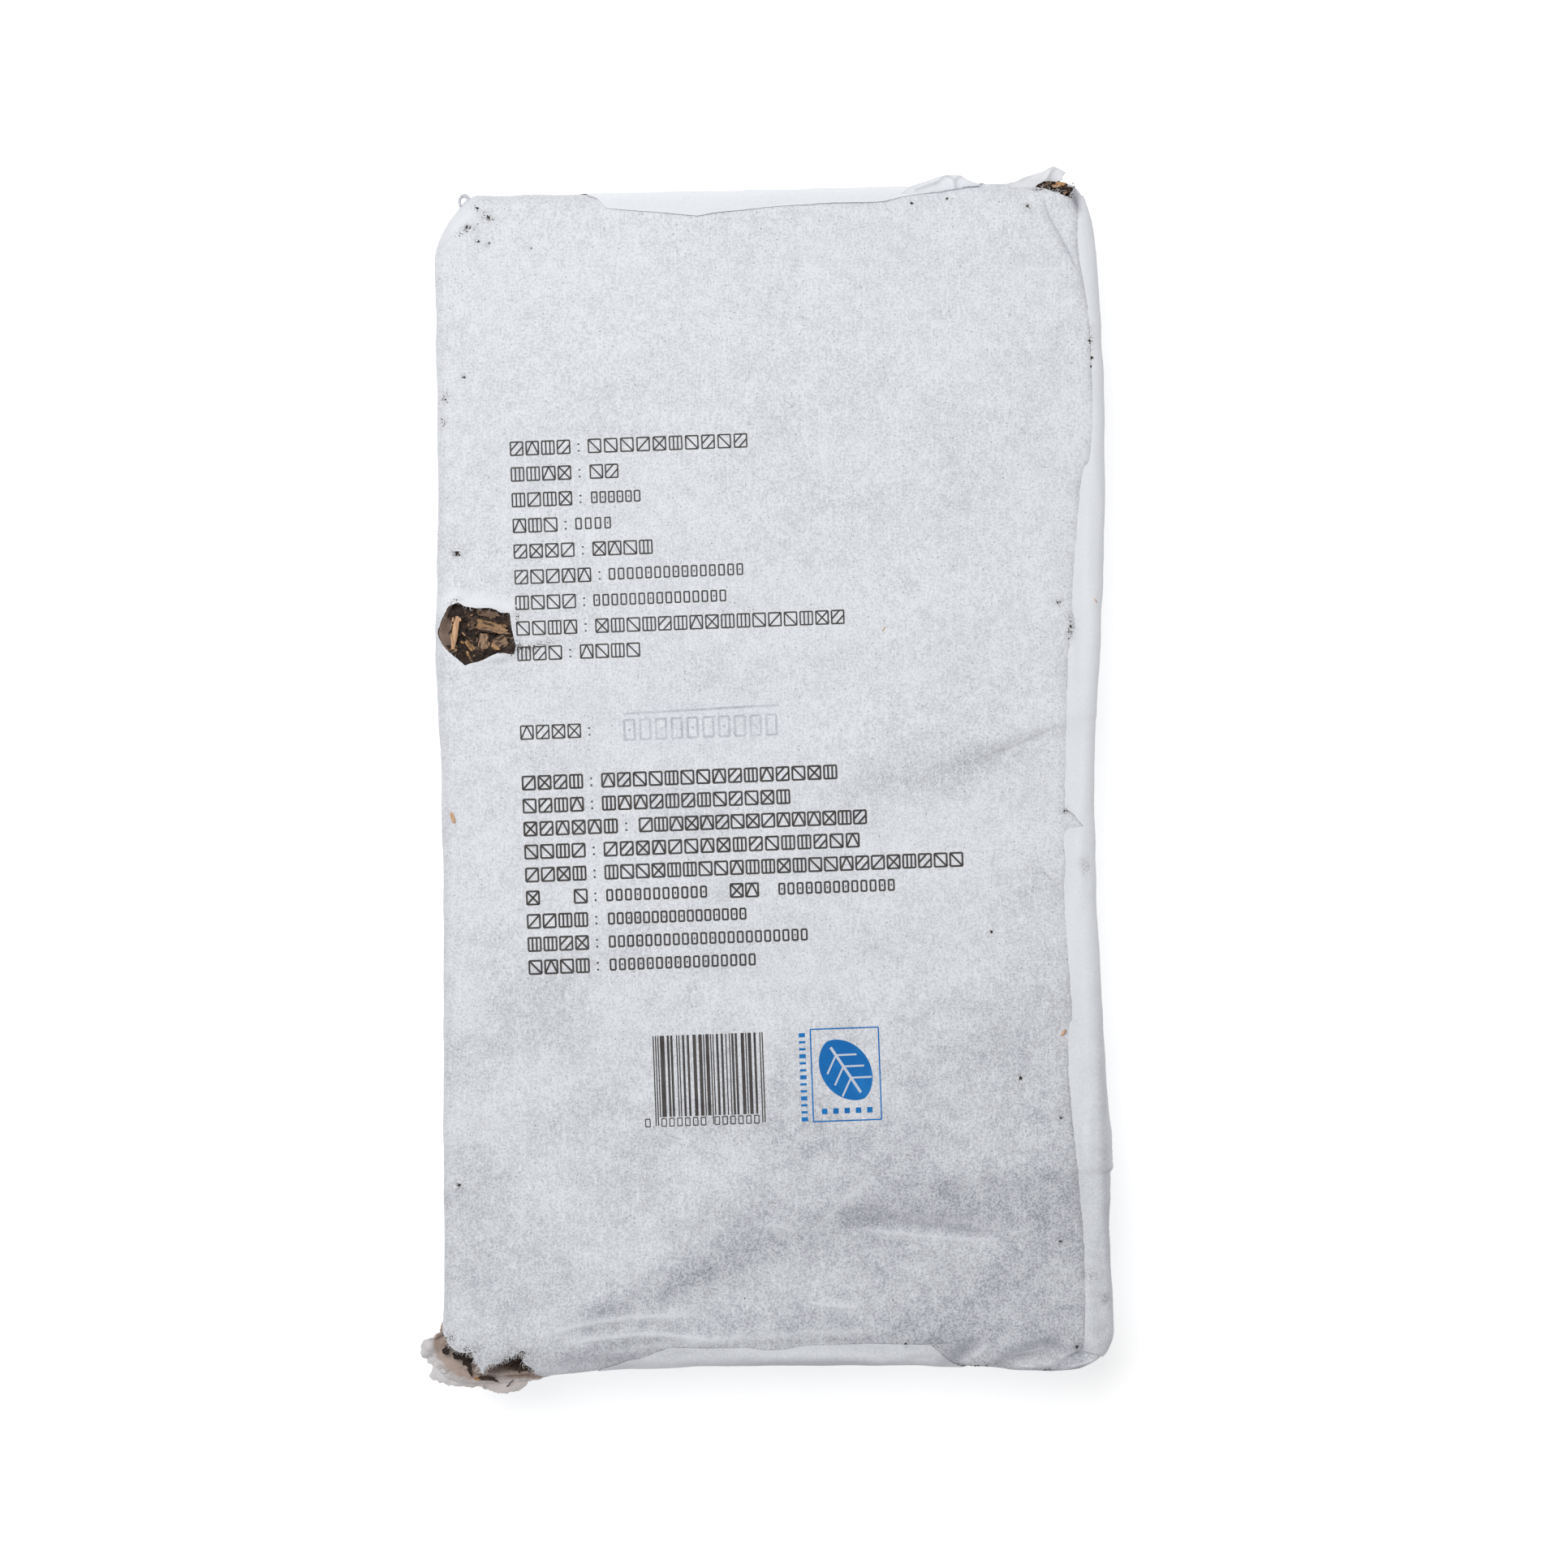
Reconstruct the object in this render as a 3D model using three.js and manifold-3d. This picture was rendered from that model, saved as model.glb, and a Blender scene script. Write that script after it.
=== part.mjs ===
// Fu brick tea: a flat pressed brick of dark tea in a parcel-folded wrapper of thin white paper.
// The paper is torn at three places, where the brick shows.
//
// Millimetres. X runs across the pack, Y along it towards the head end and Z up.
// The origin is in the middle of the flat underside that the pack rests on.

import * as THREE from "three";
import { mergeVertices } from "three/addons/utils/BufferGeometryUtils.js";
import Module from "manifold-3d";

const wasm = await Module();
wasm.setup();

// Driving dimensions of the pack
const HEIGHT = 32; // over the lapped layers
const PAPER = 0.5; // wall of the wrapper, which stands for one to three layers of thin paper
const LAP = 0.4; // how far a lapped layer stands proud of the layer below it
const CLEARANCE = 0.3; // between the paper and the brick
const BODY_HEIGHT = HEIGHT - LAP; // top of the single layer of paper
const TOP_EDGE = 3.2; // rounding of the paper round the upper edges
const BOTTOM_EDGE = 2.2; // rounding round the lower edges
const EDGE_STEPS = 3; // facets in each rounded edge

// Driving dimensions of the brick, which lies a little turned in its wrapper
const BRICK_WIDTH = 141.6;
const BRICK_LENGTH = 258.6;
const BRICK_MIDDLE = [-0.65, 0.4];
const BRICK_TURN = THREE.MathUtils.degToRad(0.65);
const BRICK_FLOOR = PAPER + CLEARANCE;
const BRICK_TOP = BODY_HEIGHT - PAPER - CLEARANCE;
const BRICK_EDGE = 2.6; // rounding of the brick's long edges
const BRICK_CORNER = 9; // rounding of its corners in plan
const BRICK_UNEVEN = 0.22; // how far leaf ends make the brick's sides uneven
const BRICK_WAVES = { around: 2.4, slow: 0.7, up: 1.9 }; // radians for each outline point, and for each ring
// Where it has crumbled away at the burst corner: a lump whose facets are uneven by a part of its size
const CRUMBLED = { middle: [-71.5, -132, 31], reach: [17, 11, 20], uneven: 0.09 };
const CRUMBLED_WAVES = { x: 7, y: 3, z: 6, slant: 4, phase: 1 }; // radians over the lump's radius

// Plan of the wrapper: each side is a smooth curve through a few places, from corner to corner.
// The sides wander by a millimetre or two, because the paper is slack round the brick.
const RIGHT_SIDE = [[75.2, -121], [73.9, -78], [71.5, -25], [71.2, 5], [73.4, 55], [73.2, 90], [71.6, 117]];
const HEAD_SIDE = [[65.5, 133.4], [45, 133.2], [25, 132.2], [-20, 131.0], [-66, 130.3]];
const LEFT_SIDE = [[-75.2, 117], [-74.6, 50], [-74.3, 15], [-73.4, -4], [-73.2, -78], [-72.6, -118]];
const FOOT_SIDE = [[-50, -131.2], [-20, -130.2], [23, -129.6], [42, -129.8], [62, -131.0]];
const CORNERS = {
  headRight: [70.6, 134],
  headLeft: [-75.3, 130.6],
  footLeft: [-73.4, -132],
  footRight: [75.6, -131.4],
};
const SIDE_STEPS = { long: 16, short: 10 };
const CORNER_STEPS = 5;
const BURST_CORNER_STEPS = 14; // the burst corner is ragged, so it has more

// The burst corner at the foot: its paper flares outwards like a collar, with a torn rim
const FLARE = 4.4; // how far the rim stands out
const FLARE_MIDDLE = [-73, -131];
const FLARE_REACH = [21, 14]; // along the foot side and up the left side
const FLARE_FOOT = 2; // height at which it starts to flare
const FLARE_RIM = 17; // mean height of the torn rim
const RIM_WAVE = 2.5;
const RIM_RATE = [0.8, 0.5]; // radians per mm, across and along
const FLARE_RAGGED = [[0.28, 0.9, 0], [0.22, 1.3, 1]]; // [depth, radians per mm, phase], across and along
const FLARE_CORE = 0.35; // the part of its reach over which it flares fully

// Parcel fold at the ends: the flap comes up from below, narrowing at 45 degrees
const FLAP_FOOT_HALF = 70; // half its width where it leaves the underside
const FLAP_TRIM_BEYOND = 1; // how far past that the region that trims a flap reaches to each side
const FLAP_BEYOND = 20; // how far past the ends the bodies that cut the flaps reach
const HEAD_FLAP_TOP = [-41, 44]; // its width at the head's upper edge
const FOOT_FLAP_TOP = [-38.5, 41.5]; // and at the foot's
const HEAD_LAP_EDGE = [
  [-41.1, 130.4], [-36.6, 127.7], [-19.7, 126.3], [-2.8, 128.1], [24.2, 129.3], [44.2, 132.7],
];
const FOOT_LAP_EDGE = [
  [-38.4, -130.4], [-33.8, -128.3], [-22.6, -125.2], [17.9, -124.2], [34.8, -124.4], [41.4, -129.8],
];

// Long seam: the sheet's edge comes round the right side and laps onto the top, with one notch torn in it
const SEAM_UPPER = [
  [65, -8.6], [64.9, -5.3], [65.3, 19.2], [66.3, 41.3], [68.5, 68.7], [70.6, 84], [69.6, 105], [67.8, 131],
];
const SEAM_LOWER = [
  [68.8, -125.6], [69.2, -114], [67.2, -88.8], [65.4, -62], [66, -48.2], [64.5, -23.9], [65.3, -9.8],
];
const SEAM_NOTCH = [68.9, -9.3];
const SEAM_OUTSIDE = 90; // past the right side

// The tear at the left edge, where leaves and stems show
const EDGE_TEAR = { middle: [-65.4, 33.3], reach: [8.1, 6.4], floor: BODY_HEIGHT - 4.5 };
const EDGE_TEAR_LOBES = [[3, 0.1, 0.4], [5, 0.06, 2.1], [7, 0.04, 0.9]]; // [lobes, depth, phase]
// Where it opens over the edge: how far out, and its two sides there and inside
const EDGE_TEAR_SIDE = { outside: -77, outer: [29.6, 36.6], inner: [27.6, 37.6] };
// The tear at the head's right corner, a narrow slot, and the ragged tongue that stands out beside it
const CORNER_TEAR = { middle: [62, 131.2], reach: [4.3, 1.3], floor: BODY_HEIGHT - 3.6 };
const CORNER_TEAR_LOBES = [[2, 0.12, 0.6], [5, 0.08, 1.2]];
const TONGUE = [[55.5, 132.6], [59.6, 134.9], [62, 136.5], [64.6, 135.9], [64.2, 133.8], [66.5, 132.8]];
const TONGUE_THICKNESS = 0.6;
const TONGUE_SLOPE = THREE.MathUtils.degToRad(18);
// The burst in the top face at the foot's left corner
const BURST_EDGE = [
  [-73, -121.6], [-70.6, -125.2], [-67, -125.9], [-64.4, -129.8],
  [-59.4, -127], [-55, -125.7], [-52.2, -130.6],
];
const BURST_OUTSIDE = [[-50, -140], [-85, -140], [-85, -121.6]];

const ROUND_STEPS = 28;
const ABOVE = HEIGHT + 2; // cutting bodies end here, clear of the pack
const BELOW = -1;
const MERGE_DISTANCE = 1e-5;

const paperFinish = new THREE.MeshStandardMaterial({ color: 0xd9dbe1, roughness: 0.9, metalness: 0 });
const teaFinish = new THREE.MeshStandardMaterial({ color: 0x4d3d31, roughness: 0.95, metalness: 0 });

function smooth(low, high, value) {
  return THREE.MathUtils.smoothstep(value, low, high);
}

function wave([depth, rate, phase], value) {
  return depth * Math.sin(value * rate + phase);
}

function curve(places) {
  return new THREE.SplineCurve(places.map(([x, y]) => new THREE.Vector2(x, y)));
}

// A rounded corner from the end of one side to the start of the next, as points without its last one
function corner(from, through, to, steps) {
  const [a, b, c] = [from.at(-1), through, to[0]].map(([x, y]) => new THREE.Vector2(x, y));
  return new THREE.QuadraticBezierCurve(a, b, c).getPoints(steps).slice(0, -1);
}

// The wrapper's outline in plan, anticlockwise
function wrapperOutline() {
  const side = (places, steps) => curve(places).getPoints(steps).slice(0, -1);
  return [
    ...side(RIGHT_SIDE, SIDE_STEPS.long),
    ...corner(RIGHT_SIDE, CORNERS.headRight, HEAD_SIDE, CORNER_STEPS),
    ...side(HEAD_SIDE, SIDE_STEPS.short),
    ...corner(HEAD_SIDE, CORNERS.headLeft, LEFT_SIDE, CORNER_STEPS),
    ...side(LEFT_SIDE, SIDE_STEPS.long),
    ...corner(LEFT_SIDE, CORNERS.footLeft, FOOT_SIDE, BURST_CORNER_STEPS),
    ...side(FOOT_SIDE, SIDE_STEPS.short),
    ...corner(FOOT_SIDE, CORNERS.footRight, RIGHT_SIDE, CORNER_STEPS),
  ];
}

// The brick's outline in plan, a rectangle with rounded corners, anticlockwise
function brickOutline() {
  const middle = new THREE.Vector2(...BRICK_MIDDLE);
  const reach = new THREE.Vector2(BRICK_WIDTH / 2 - BRICK_CORNER, BRICK_LENGTH / 2 - BRICK_CORNER);
  const points = [];
  for (const [across, along] of [[1, -1], [1, 1], [-1, 1], [-1, -1]]) {
    const first = Math.atan2(along, across) - Math.PI / 4;
    for (let step = 0; step <= CORNER_STEPS; step++) {
      const angle = first + (step / CORNER_STEPS) * (Math.PI / 2);
      const x = across * reach.x + BRICK_CORNER * Math.cos(angle);
      const y = along * reach.y + BRICK_CORNER * Math.sin(angle);
      points.push(new THREE.Vector2(x, y));
    }
  }
  const origin = new THREE.Vector2();
  const filled = fillLongSteps(points, BRICK_CORNER);
  return filled.map((point) => point.rotateAround(origin, BRICK_TURN).add(middle));
}

// Adds points where the step from one point to the next is long
function fillLongSteps(points, longest) {
  return points.flatMap((point, index) => {
    const next = points[(index + 1) % points.length];
    const count = Math.ceil(point.distanceTo(next) / longest);
    return Array.from({ length: count }, (_, step) => point.clone().lerp(next, step / count));
  });
}

// Which way is outwards at each point of an anticlockwise outline
function outwards(outline) {
  return outline.map((_, index) => {
    const before = outline[(index + outline.length - 1) % outline.length];
    const after = outline[(index + 1) % outline.length];
    const along = after.clone().sub(before).normalize();
    return new THREE.Vector2(along.y, -along.x);
  });
}

// How the collar at the burst corner stands out, at one place of the outline and one height
function flareAt(point, height) {
  const away = Math.hypot(
    (point.x - FLARE_MIDDLE[0]) / FLARE_REACH[0],
    (point.y - FLARE_MIDDLE[1]) / FLARE_REACH[1],
  );
  const ragged = 1 + wave(FLARE_RAGGED[0], point.x) + wave(FLARE_RAGGED[1], point.y);
  return FLARE * ragged * (1 - smooth(FLARE_CORE, 1, away)) * smooth(FLARE_FOOT, FLARE_RIM, height);
}

// Heights and insets of the rings that make a body with rounded lower and upper edges.
// grow moves the whole surface outwards, or inwards where it is negative.
function edgeProfile({ floor, top, lowerEdge, upperEdge, grow = 0 }) {
  const rings = [];
  for (let step = 0; step <= EDGE_STEPS; step++) {
    const angle = (step / EDGE_STEPS - 1) * (Math.PI / 2);
    const radius = lowerEdge + grow;
    const height = floor + lowerEdge + radius * Math.sin(angle);
    rings.push({ height: Math.max(height, 0), inset: lowerEdge - radius * Math.cos(angle) });
  }
  rings.push({ height: (floor + top) / 2, inset: -grow });
  for (let step = 0; step <= EDGE_STEPS; step++) {
    const angle = (step / EDGE_STEPS) * (Math.PI / 2);
    const radius = upperEdge + grow;
    const height = top - upperEdge + radius * Math.sin(angle);
    rings.push({ height, inset: upperEdge - radius * Math.cos(angle) });
  }
  return rings;
}

// A closed body through rings of equally many points, listed from the lowest ring to the highest
function loft(rings) {
  const count = rings[0].length;
  const positions = rings.flat().flatMap((point) => point.toArray());
  const indices = [];
  for (let level = 0; level + 1 < rings.length; level++) {
    for (let index = 0; index < count; index++) {
      const here = level * count + index;
      const next = level * count + ((index + 1) % count);
      indices.push(here, next, next + count, here, next + count, here + count);
    }
  }
  for (const level of [0, rings.length - 1]) {
    const middle = rings[level].reduce((sum, point) => sum.add(point), new THREE.Vector3());
    positions.push(...middle.divideScalar(count).toArray());
    for (let index = 0; index < count; index++) {
      const here = level * count + index;
      const next = level * count + ((index + 1) % count);
      const centre = positions.length / 3 - 1;
      indices.push(...(level === 0 ? [centre, next, here] : [centre, here, next]));
    }
  }
  const geometry = new THREE.BufferGeometry();
  geometry.setAttribute("position", new THREE.Float32BufferAttribute(positions, 3));
  geometry.setIndex(indices);
  return geometry;
}

// The wrapper's outer or inner surface as a closed body
function wrapperBody(grow) {
  const outline = wrapperOutline();
  const normals = outwards(outline);
  const edges = { lowerEdge: BOTTOM_EDGE, upperEdge: TOP_EDGE };
  const profile = edgeProfile({ floor: 0, top: BODY_HEIGHT, ...edges, grow });
  return loft(profile.map(({ height, inset }) => outline.map((point, index) => {
    const moved = normals[index].clone().multiplyScalar(flareAt(point, height) - inset).add(point);
    return new THREE.Vector3(moved.x, moved.y, height);
  })));
}

// The pressed brick before its corner crumbled
function brickBody() {
  const outline = brickOutline();
  const normals = outwards(outline);
  const edges = { lowerEdge: BRICK_EDGE, upperEdge: BRICK_EDGE };
  const profile = edgeProfile({ floor: BRICK_FLOOR, top: BRICK_TOP, ...edges });
  return loft(profile.map(({ height, inset }, level) => outline.map((point, index) => {
    const { around, slow, up } = BRICK_WAVES;
    const uneven = BRICK_UNEVEN * Math.sin(index * around + level * up) * Math.sin(index * slow);
    const moved = normals[index].clone().multiplyScalar(-inset - Math.abs(uneven)).add(point);
    return new THREE.Vector3(moved.x, moved.y, height);
  })));
}

// A straight-sided body over a shape in plan, from one height to another
function standing(shape, floor, top) {
  return new THREE.ExtrudeGeometry(shape, { depth: top - floor, bevelEnabled: false }).translate(0, 0, floor);
}

// A shape in plan from points
function plan(places) {
  return new THREE.Shape(places.map(([x, y]) => new THREE.Vector2(x, y)));
}

// A ragged hole in plan: an oval whose edge waves in and out
function raggedOval({ middle, reach }, lobes) {
  const places = [];
  for (let step = 0; step < ROUND_STEPS; step++) {
    const angle = (step / ROUND_STEPS) * 2 * Math.PI;
    const size = lobes.reduce((sum, [count, depth, phase]) => sum + wave([depth, count, phase], angle), 1);
    const offset = [reach[0] * size * Math.cos(angle), reach[1] * size * Math.sin(angle)];
    places.push([middle[0] + offset[0], middle[1] + offset[1]]);
  }
  return plan(places);
}

// A three.js geometry as a solid that can be joined and cut
function solid(geometry) {
  const bare = geometry.clone();
  bare.deleteAttribute("normal");
  bare.deleteAttribute("uv");
  const merged = mergeVertices(bare, MERGE_DISTANCE);
  return new wasm.Manifold(new wasm.Mesh({
    numProp: 3,
    vertProperties: new Float32Array(merged.attributes.position.array),
    triVerts: new Uint32Array(merged.index.array),
  }));
}

// A solid back as a three.js mesh
function mesh(name, body, material) {
  const { vertProperties, triVerts } = body.getMesh();
  const geometry = new THREE.BufferGeometry();
  geometry.setAttribute("position", new THREE.BufferAttribute(vertProperties, 3));
  geometry.setIndex(new THREE.BufferAttribute(triVerts, 1));
  geometry.computeVertexNormals();
  const piece = new THREE.Mesh(geometry, material);
  piece.name = name;
  return piece;
}

// The part of the lapped layer that lies over an end: a flap between two slanting folds,
// which comes up the end and laps onto the top as far as its torn edge
function endFlap(lapped, topWidth, lapEdge, endSign) {
  const front = plan([
    [-FLAP_FOOT_HALF, 0],
    [FLAP_FOOT_HALF, 0],
    [topWidth[1], BODY_HEIGHT],
    [topWidth[1], ABOVE],
    [topWidth[0], ABOVE],
    [topWidth[0], BODY_HEIGHT],
  ]);
  const length = BRICK_LENGTH + 2 * FLAP_BEYOND;
  const slice = new THREE.ExtrudeGeometry(front, { depth: length, bevelEnabled: false });
  slice.rotateX(Math.PI / 2).translate(0, length / 2, 0);
  const torn = curve(lapEdge).getPoints(ROUND_STEPS).map((point) => point.toArray());
  const outside = endSign * (BRICK_LENGTH / 2 + FLAP_BEYOND);
  const [first, last] = [torn[0], torn.at(-1)];
  const footInset = FLAP_FOOT_HALF + FLAP_TRIM_BEYOND;
  const around = [[footInset, last[1]], [footInset, outside], [-footInset, outside], [-footInset, first[1]]];
  const region = [...torn, ...around];
  const above = solid(standing(plan(endSign > 0 ? region : region.reverse()), BELOW, ABOVE));
  return lapped.intersect(solid(slice)).intersect(above);
}

// The lapped layer along the right side, from its torn edge on the top down to the underside
function longSeam(lapped) {
  const lower = curve(SEAM_LOWER).getPoints(ROUND_STEPS).map((point) => point.toArray());
  const upper = curve(SEAM_UPPER).getPoints(ROUND_STEPS).map((point) => point.toArray());
  const outside = [[SEAM_OUTSIDE, upper.at(-1)[1]], [SEAM_OUTSIDE, lower[0][1]]];
  const region = [...lower, SEAM_NOTCH, ...upper, ...outside];
  return lapped.intersect(solid(standing(plan(region.reverse()), 0, ABOVE)));
}

// Everything above the torn rim at the burst corner
function burst() {
  const geometry = standing(plan([...BURST_EDGE, ...BURST_OUTSIDE].reverse()), FLARE_RIM, ABOVE);
  const places = geometry.attributes.position;
  for (let index = 0; index < places.count; index++) {
    if (places.getZ(index) <= FLARE_RIM) {
      const along = places.getX(index) * RIM_RATE[0] + places.getY(index) * RIM_RATE[1];
      places.setZ(index, FLARE_RIM + RIM_WAVE * Math.sin(along));
    }
  }
  return solid(geometry);
}

// The tear at the left edge opens over the edge itself
function edgeTear() {
  const { outside, outer, inner } = EDGE_TEAR_SIDE;
  const middle = EDGE_TEAR.middle[0];
  const hole = solid(standing(raggedOval(EDGE_TEAR, EDGE_TEAR_LOBES), EDGE_TEAR.floor, ABOVE));
  const gap = plan([[outside, outer[0]], [middle, inner[0]], [middle, inner[1]], [outside, outer[1]]]);
  return hole.add(solid(standing(gap, EDGE_TEAR.floor, ABOVE)));
}

// The tongue of torn paper that stands out at the head's right corner
function tongue() {
  const geometry = standing(plan(TONGUE.toReversed()), 0, TONGUE_THICKNESS);
  const [x, y] = TONGUE[0];
  const height = BODY_HEIGHT - TOP_EDGE - TONGUE_THICKNESS;
  geometry.translate(-x, -y, 0).rotateX(TONGUE_SLOPE).translate(x, y, height);
  return solid(geometry);
}

// One sheet of paper, folded round the brick
function wrapper() {
  const lapped = solid(wrapperBody(LAP));
  const cavity = solid(wrapperBody(-PAPER));
  const cornerTear = standing(raggedOval(CORNER_TEAR, CORNER_TEAR_LOBES), CORNER_TEAR.floor, ABOVE);
  const outside = solid(wrapperBody(0))
    .add(endFlap(lapped, HEAD_FLAP_TOP, HEAD_LAP_EDGE, 1))
    .add(endFlap(lapped, FOOT_FLAP_TOP, FOOT_LAP_EDGE, -1))
    .add(longSeam(lapped))
    .subtract(solid(cornerTear))
    .add(tongue());
  return outside.subtract(cavity).subtract(edgeTear()).subtract(burst());
}

// The lump that is missing from the brick at the burst corner
function crumbledCorner() {
  const { x: rateX, y: rateY, z: rateZ, slant, phase } = CRUMBLED_WAVES;
  const lump = new THREE.IcosahedronGeometry(1, 2);
  const places = lump.attributes.position;
  for (let index = 0; index < places.count; index++) {
    const [x, y, z] = [places.getX(index), places.getY(index), places.getZ(index)];
    const bumps = Math.sin(rateX * x + rateY * y) * Math.sin(rateZ * z + slant * y + phase);
    const size = 1 + CRUMBLED.uneven * bumps;
    places.setXYZ(index, x * size, y * size, z * size);
  }
  return solid(lump.scale(...CRUMBLED.reach).translate(...CRUMBLED.middle));
}

function brick() {
  return solid(brickBody()).subtract(crumbledCorner());
}

const pack = new THREE.Group();
pack.name = "fu_brick_tea";
pack.add(mesh("tea_brick", brick(), teaFinish));
pack.add(mesh("paper_wrapper", wrapper(), paperFinish));

export default pack;
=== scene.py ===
"""Fu brick tea: a pressed brick of dark tea in a parcel-folded wrapper of thin white paper.

The wrapper is torn at its left edge and at two corners. Shapes are worked out in millimetres, in the frame
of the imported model, and become metres when a piece is made. X runs across the pack, Y along it towards the
head end, Z up. Flat places on the paper are places on the unrolled sheet: on_pack() folds them over the
pack's edges. Every random draw starts from a fixed number.
"""

import math

import bpy
import numpy as np
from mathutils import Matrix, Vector
from mathutils.geometry import delaunay_2d_cdt
from mathutils.kdtree import KDTree


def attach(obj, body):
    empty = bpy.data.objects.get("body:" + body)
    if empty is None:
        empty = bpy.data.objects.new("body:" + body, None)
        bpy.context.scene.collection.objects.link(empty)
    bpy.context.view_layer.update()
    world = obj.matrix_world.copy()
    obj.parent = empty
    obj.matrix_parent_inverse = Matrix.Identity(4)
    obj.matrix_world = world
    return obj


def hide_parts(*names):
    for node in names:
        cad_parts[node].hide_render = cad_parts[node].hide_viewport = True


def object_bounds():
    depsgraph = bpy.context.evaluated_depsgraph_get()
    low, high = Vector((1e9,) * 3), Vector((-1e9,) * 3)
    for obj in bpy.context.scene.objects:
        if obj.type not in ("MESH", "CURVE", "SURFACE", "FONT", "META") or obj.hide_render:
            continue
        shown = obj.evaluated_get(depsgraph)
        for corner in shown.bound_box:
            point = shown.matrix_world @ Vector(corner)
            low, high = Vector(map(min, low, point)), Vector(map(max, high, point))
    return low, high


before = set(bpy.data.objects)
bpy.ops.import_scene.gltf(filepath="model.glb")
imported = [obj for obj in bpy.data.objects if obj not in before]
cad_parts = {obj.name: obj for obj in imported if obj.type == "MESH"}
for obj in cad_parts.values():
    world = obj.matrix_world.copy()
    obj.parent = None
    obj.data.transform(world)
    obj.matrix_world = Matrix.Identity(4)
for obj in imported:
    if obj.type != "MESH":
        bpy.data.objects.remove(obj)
cad_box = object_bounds()

MM = 0.001
BODY = "root"
TINY = 1e-12  # keeps a division by a length from failing

# ---------------------------------------------------------------- sizes, in millimetres

HEIGHT = cad_box[1][2] / MM  # over the lapped layers
TOP = HEIGHT - 0.4  # top of the single layer of paper
EDGE = 1.8  # rounding of the paper round the upper edges
FOOT_EDGE = 1.8  # and round the lower ones
WALL = TOP - EDGE - FOOT_EDGE  # height of the straight part of the walls
SHEET = 0.2  # how thick a layer of paper is drawn
LAYER = 0.3  # from one lapped layer to the next
SEAM_DEPTH = 0.34  # of the dip along the long seam
WALL_START = 1.6  # how far below the rounding the upper face's mesh ends and the wall's begins

# The wrapper's outline in plan: each side is a smooth curve through a few places
RIGHT_SIDE = [
    (75.2, -121), (73.9, -78), (71.5, -25), (71.2, 5), (73.4, 55), (73.2, 90), (71.6, 117),
]
HEAD_SIDE = [
    (65.5, 133.4), (45, 133.2), (25, 132.2), (-20, 131.0), (-67, 130.4),
]
LEFT_SIDE = [
    (-75.2, 117), (-74.6, 80), (-74.6, 50), (-74.9, 33), (-74.3, 15), (-73.4, -4), (-73.2, -78),
    (-72.6, -123),
]
FOOT_SIDE = [
    (-62, -131.8), (-48, -131.1), (-20, -130.2), (23, -129.6), (42, -129.8), (62, -131.0),
]
# Between two sides, the outline bends towards one of these places
HEAD_RIGHT, HEAD_LEFT = (70.3, 133.2), (-73.6, 125.4)
FOOT_LEFT, FOOT_RIGHT = (-72.8, -132.4), (75.6, -131.4)

# The tear at the left edge
EDGE_TEAR = [
    (-72.6, 38.6), (-74.0, 34.9), (-74.6, 33.6), (-74.0, 32.4), (-73.2, 30.9), (-71.9, 29.3),
    (-69.4, 27.4), (-68.3, 26.3), (-66.9, 26.9), (-64.3, 27.6), (-61.1, 29.1), (-57.5, 28.9),
    (-57.0, 30.9), (-57.9, 34.3), (-58.4, 37.9), (-60.2, 38.1), (-62.5, 39.1), (-65.9, 39.1),
    (-68.3, 39.4), (-69.9, 40.4), (-71.7, 39.7),
]
# The tear at the head's right corner
CORNER_TEAR = [
    (57.8, 132.6), (60.4, 132.3), (61.7, 131.8), (63.5, 131.4), (65.7, 130.4), (66.3, 131.4),
    (66.5, 132.6), (65.3, 133.2), (64.7, 134.3), (62.0, 134.4), (59.0, 134.0),
]
# The torn edge of the upper face at the burst corner, from the left side to the foot side
BURST_EDGE = [
    (-72.4, -121.9), (-71.5, -123.9), (-70.6, -125.2), (-67.0, -125.9), (-66.4, -127.2),
    (-64.4, -130.2), (-63.1, -128.6), (-61.1, -128.2), (-58.9, -127.2), (-55.2, -125.8),
    (-55.4, -127.9), (-53.5, -129.1), (-52.6, -130.6),
]
BURST_FROM, BURST_TO = (-74.9, -117.4), (-49.6, -133.4)  # where that tear leaves the upper face's mesh
BURST_FLOOR = 6.0  # the wall below this height is whole at the burst corner

# Torn edges of the laps on the upper face
SEAM_UPPER = [
    (67.8, 130.9), (67.6, 124), (67.8, 117.6), (69.9, 104.9), (70.7, 90), (70.8, 80.4),
    (70.2, 72.5), (68.5, 68.7), (67.4, 57), (66.3, 41.3), (66.9, 35), (65.6, 30.6), (65.1, 19.2),
    (64.7, -2.7), (64.9, -5.3),
]
SEAM_NOTCH = [(66.6, -6.6), (68.9, -9.3), (65.3, -9.8)]
SEAM_LOWER = [
    (64.4, -11.3), (64.8, -17.5), (64.5, -23.9), (65.4, -38.5), (66.3, -51.3), (65.5, -53.6),
    (65.6, -65.8), (66.9, -80.2), (68.4, -94.5), (69.1, -105), (69.2, -120), (68.9, -125.6),
]
HEAD_LAP = [
    (-40.9, 130.6), (-39.0, 129.9), (-36.8, 127.7), (-26.0, 126.9), (-16.8, 126.0), (-12.0, 126.9),
    (2.3, 128.3), (14.3, 129.0), (24.1, 129.2), (28.5, 130.3), (34.5, 131.5), (39.9, 132.4),
    (45.5, 132.9),
]
FOOT_LAP = [
    (-38.0, -130.7), (-32.3, -127.9), (-29.6, -127.5), (-23.1, -125.0), (-15.0, -125.1),
    (-5.9, -125.0), (-1.6, -125.6), (2.8, -125.4), (7.1, -124.5), (21.1, -124.1), (34.9, -124.3),
    (41.2, -129.8),
]

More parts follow.
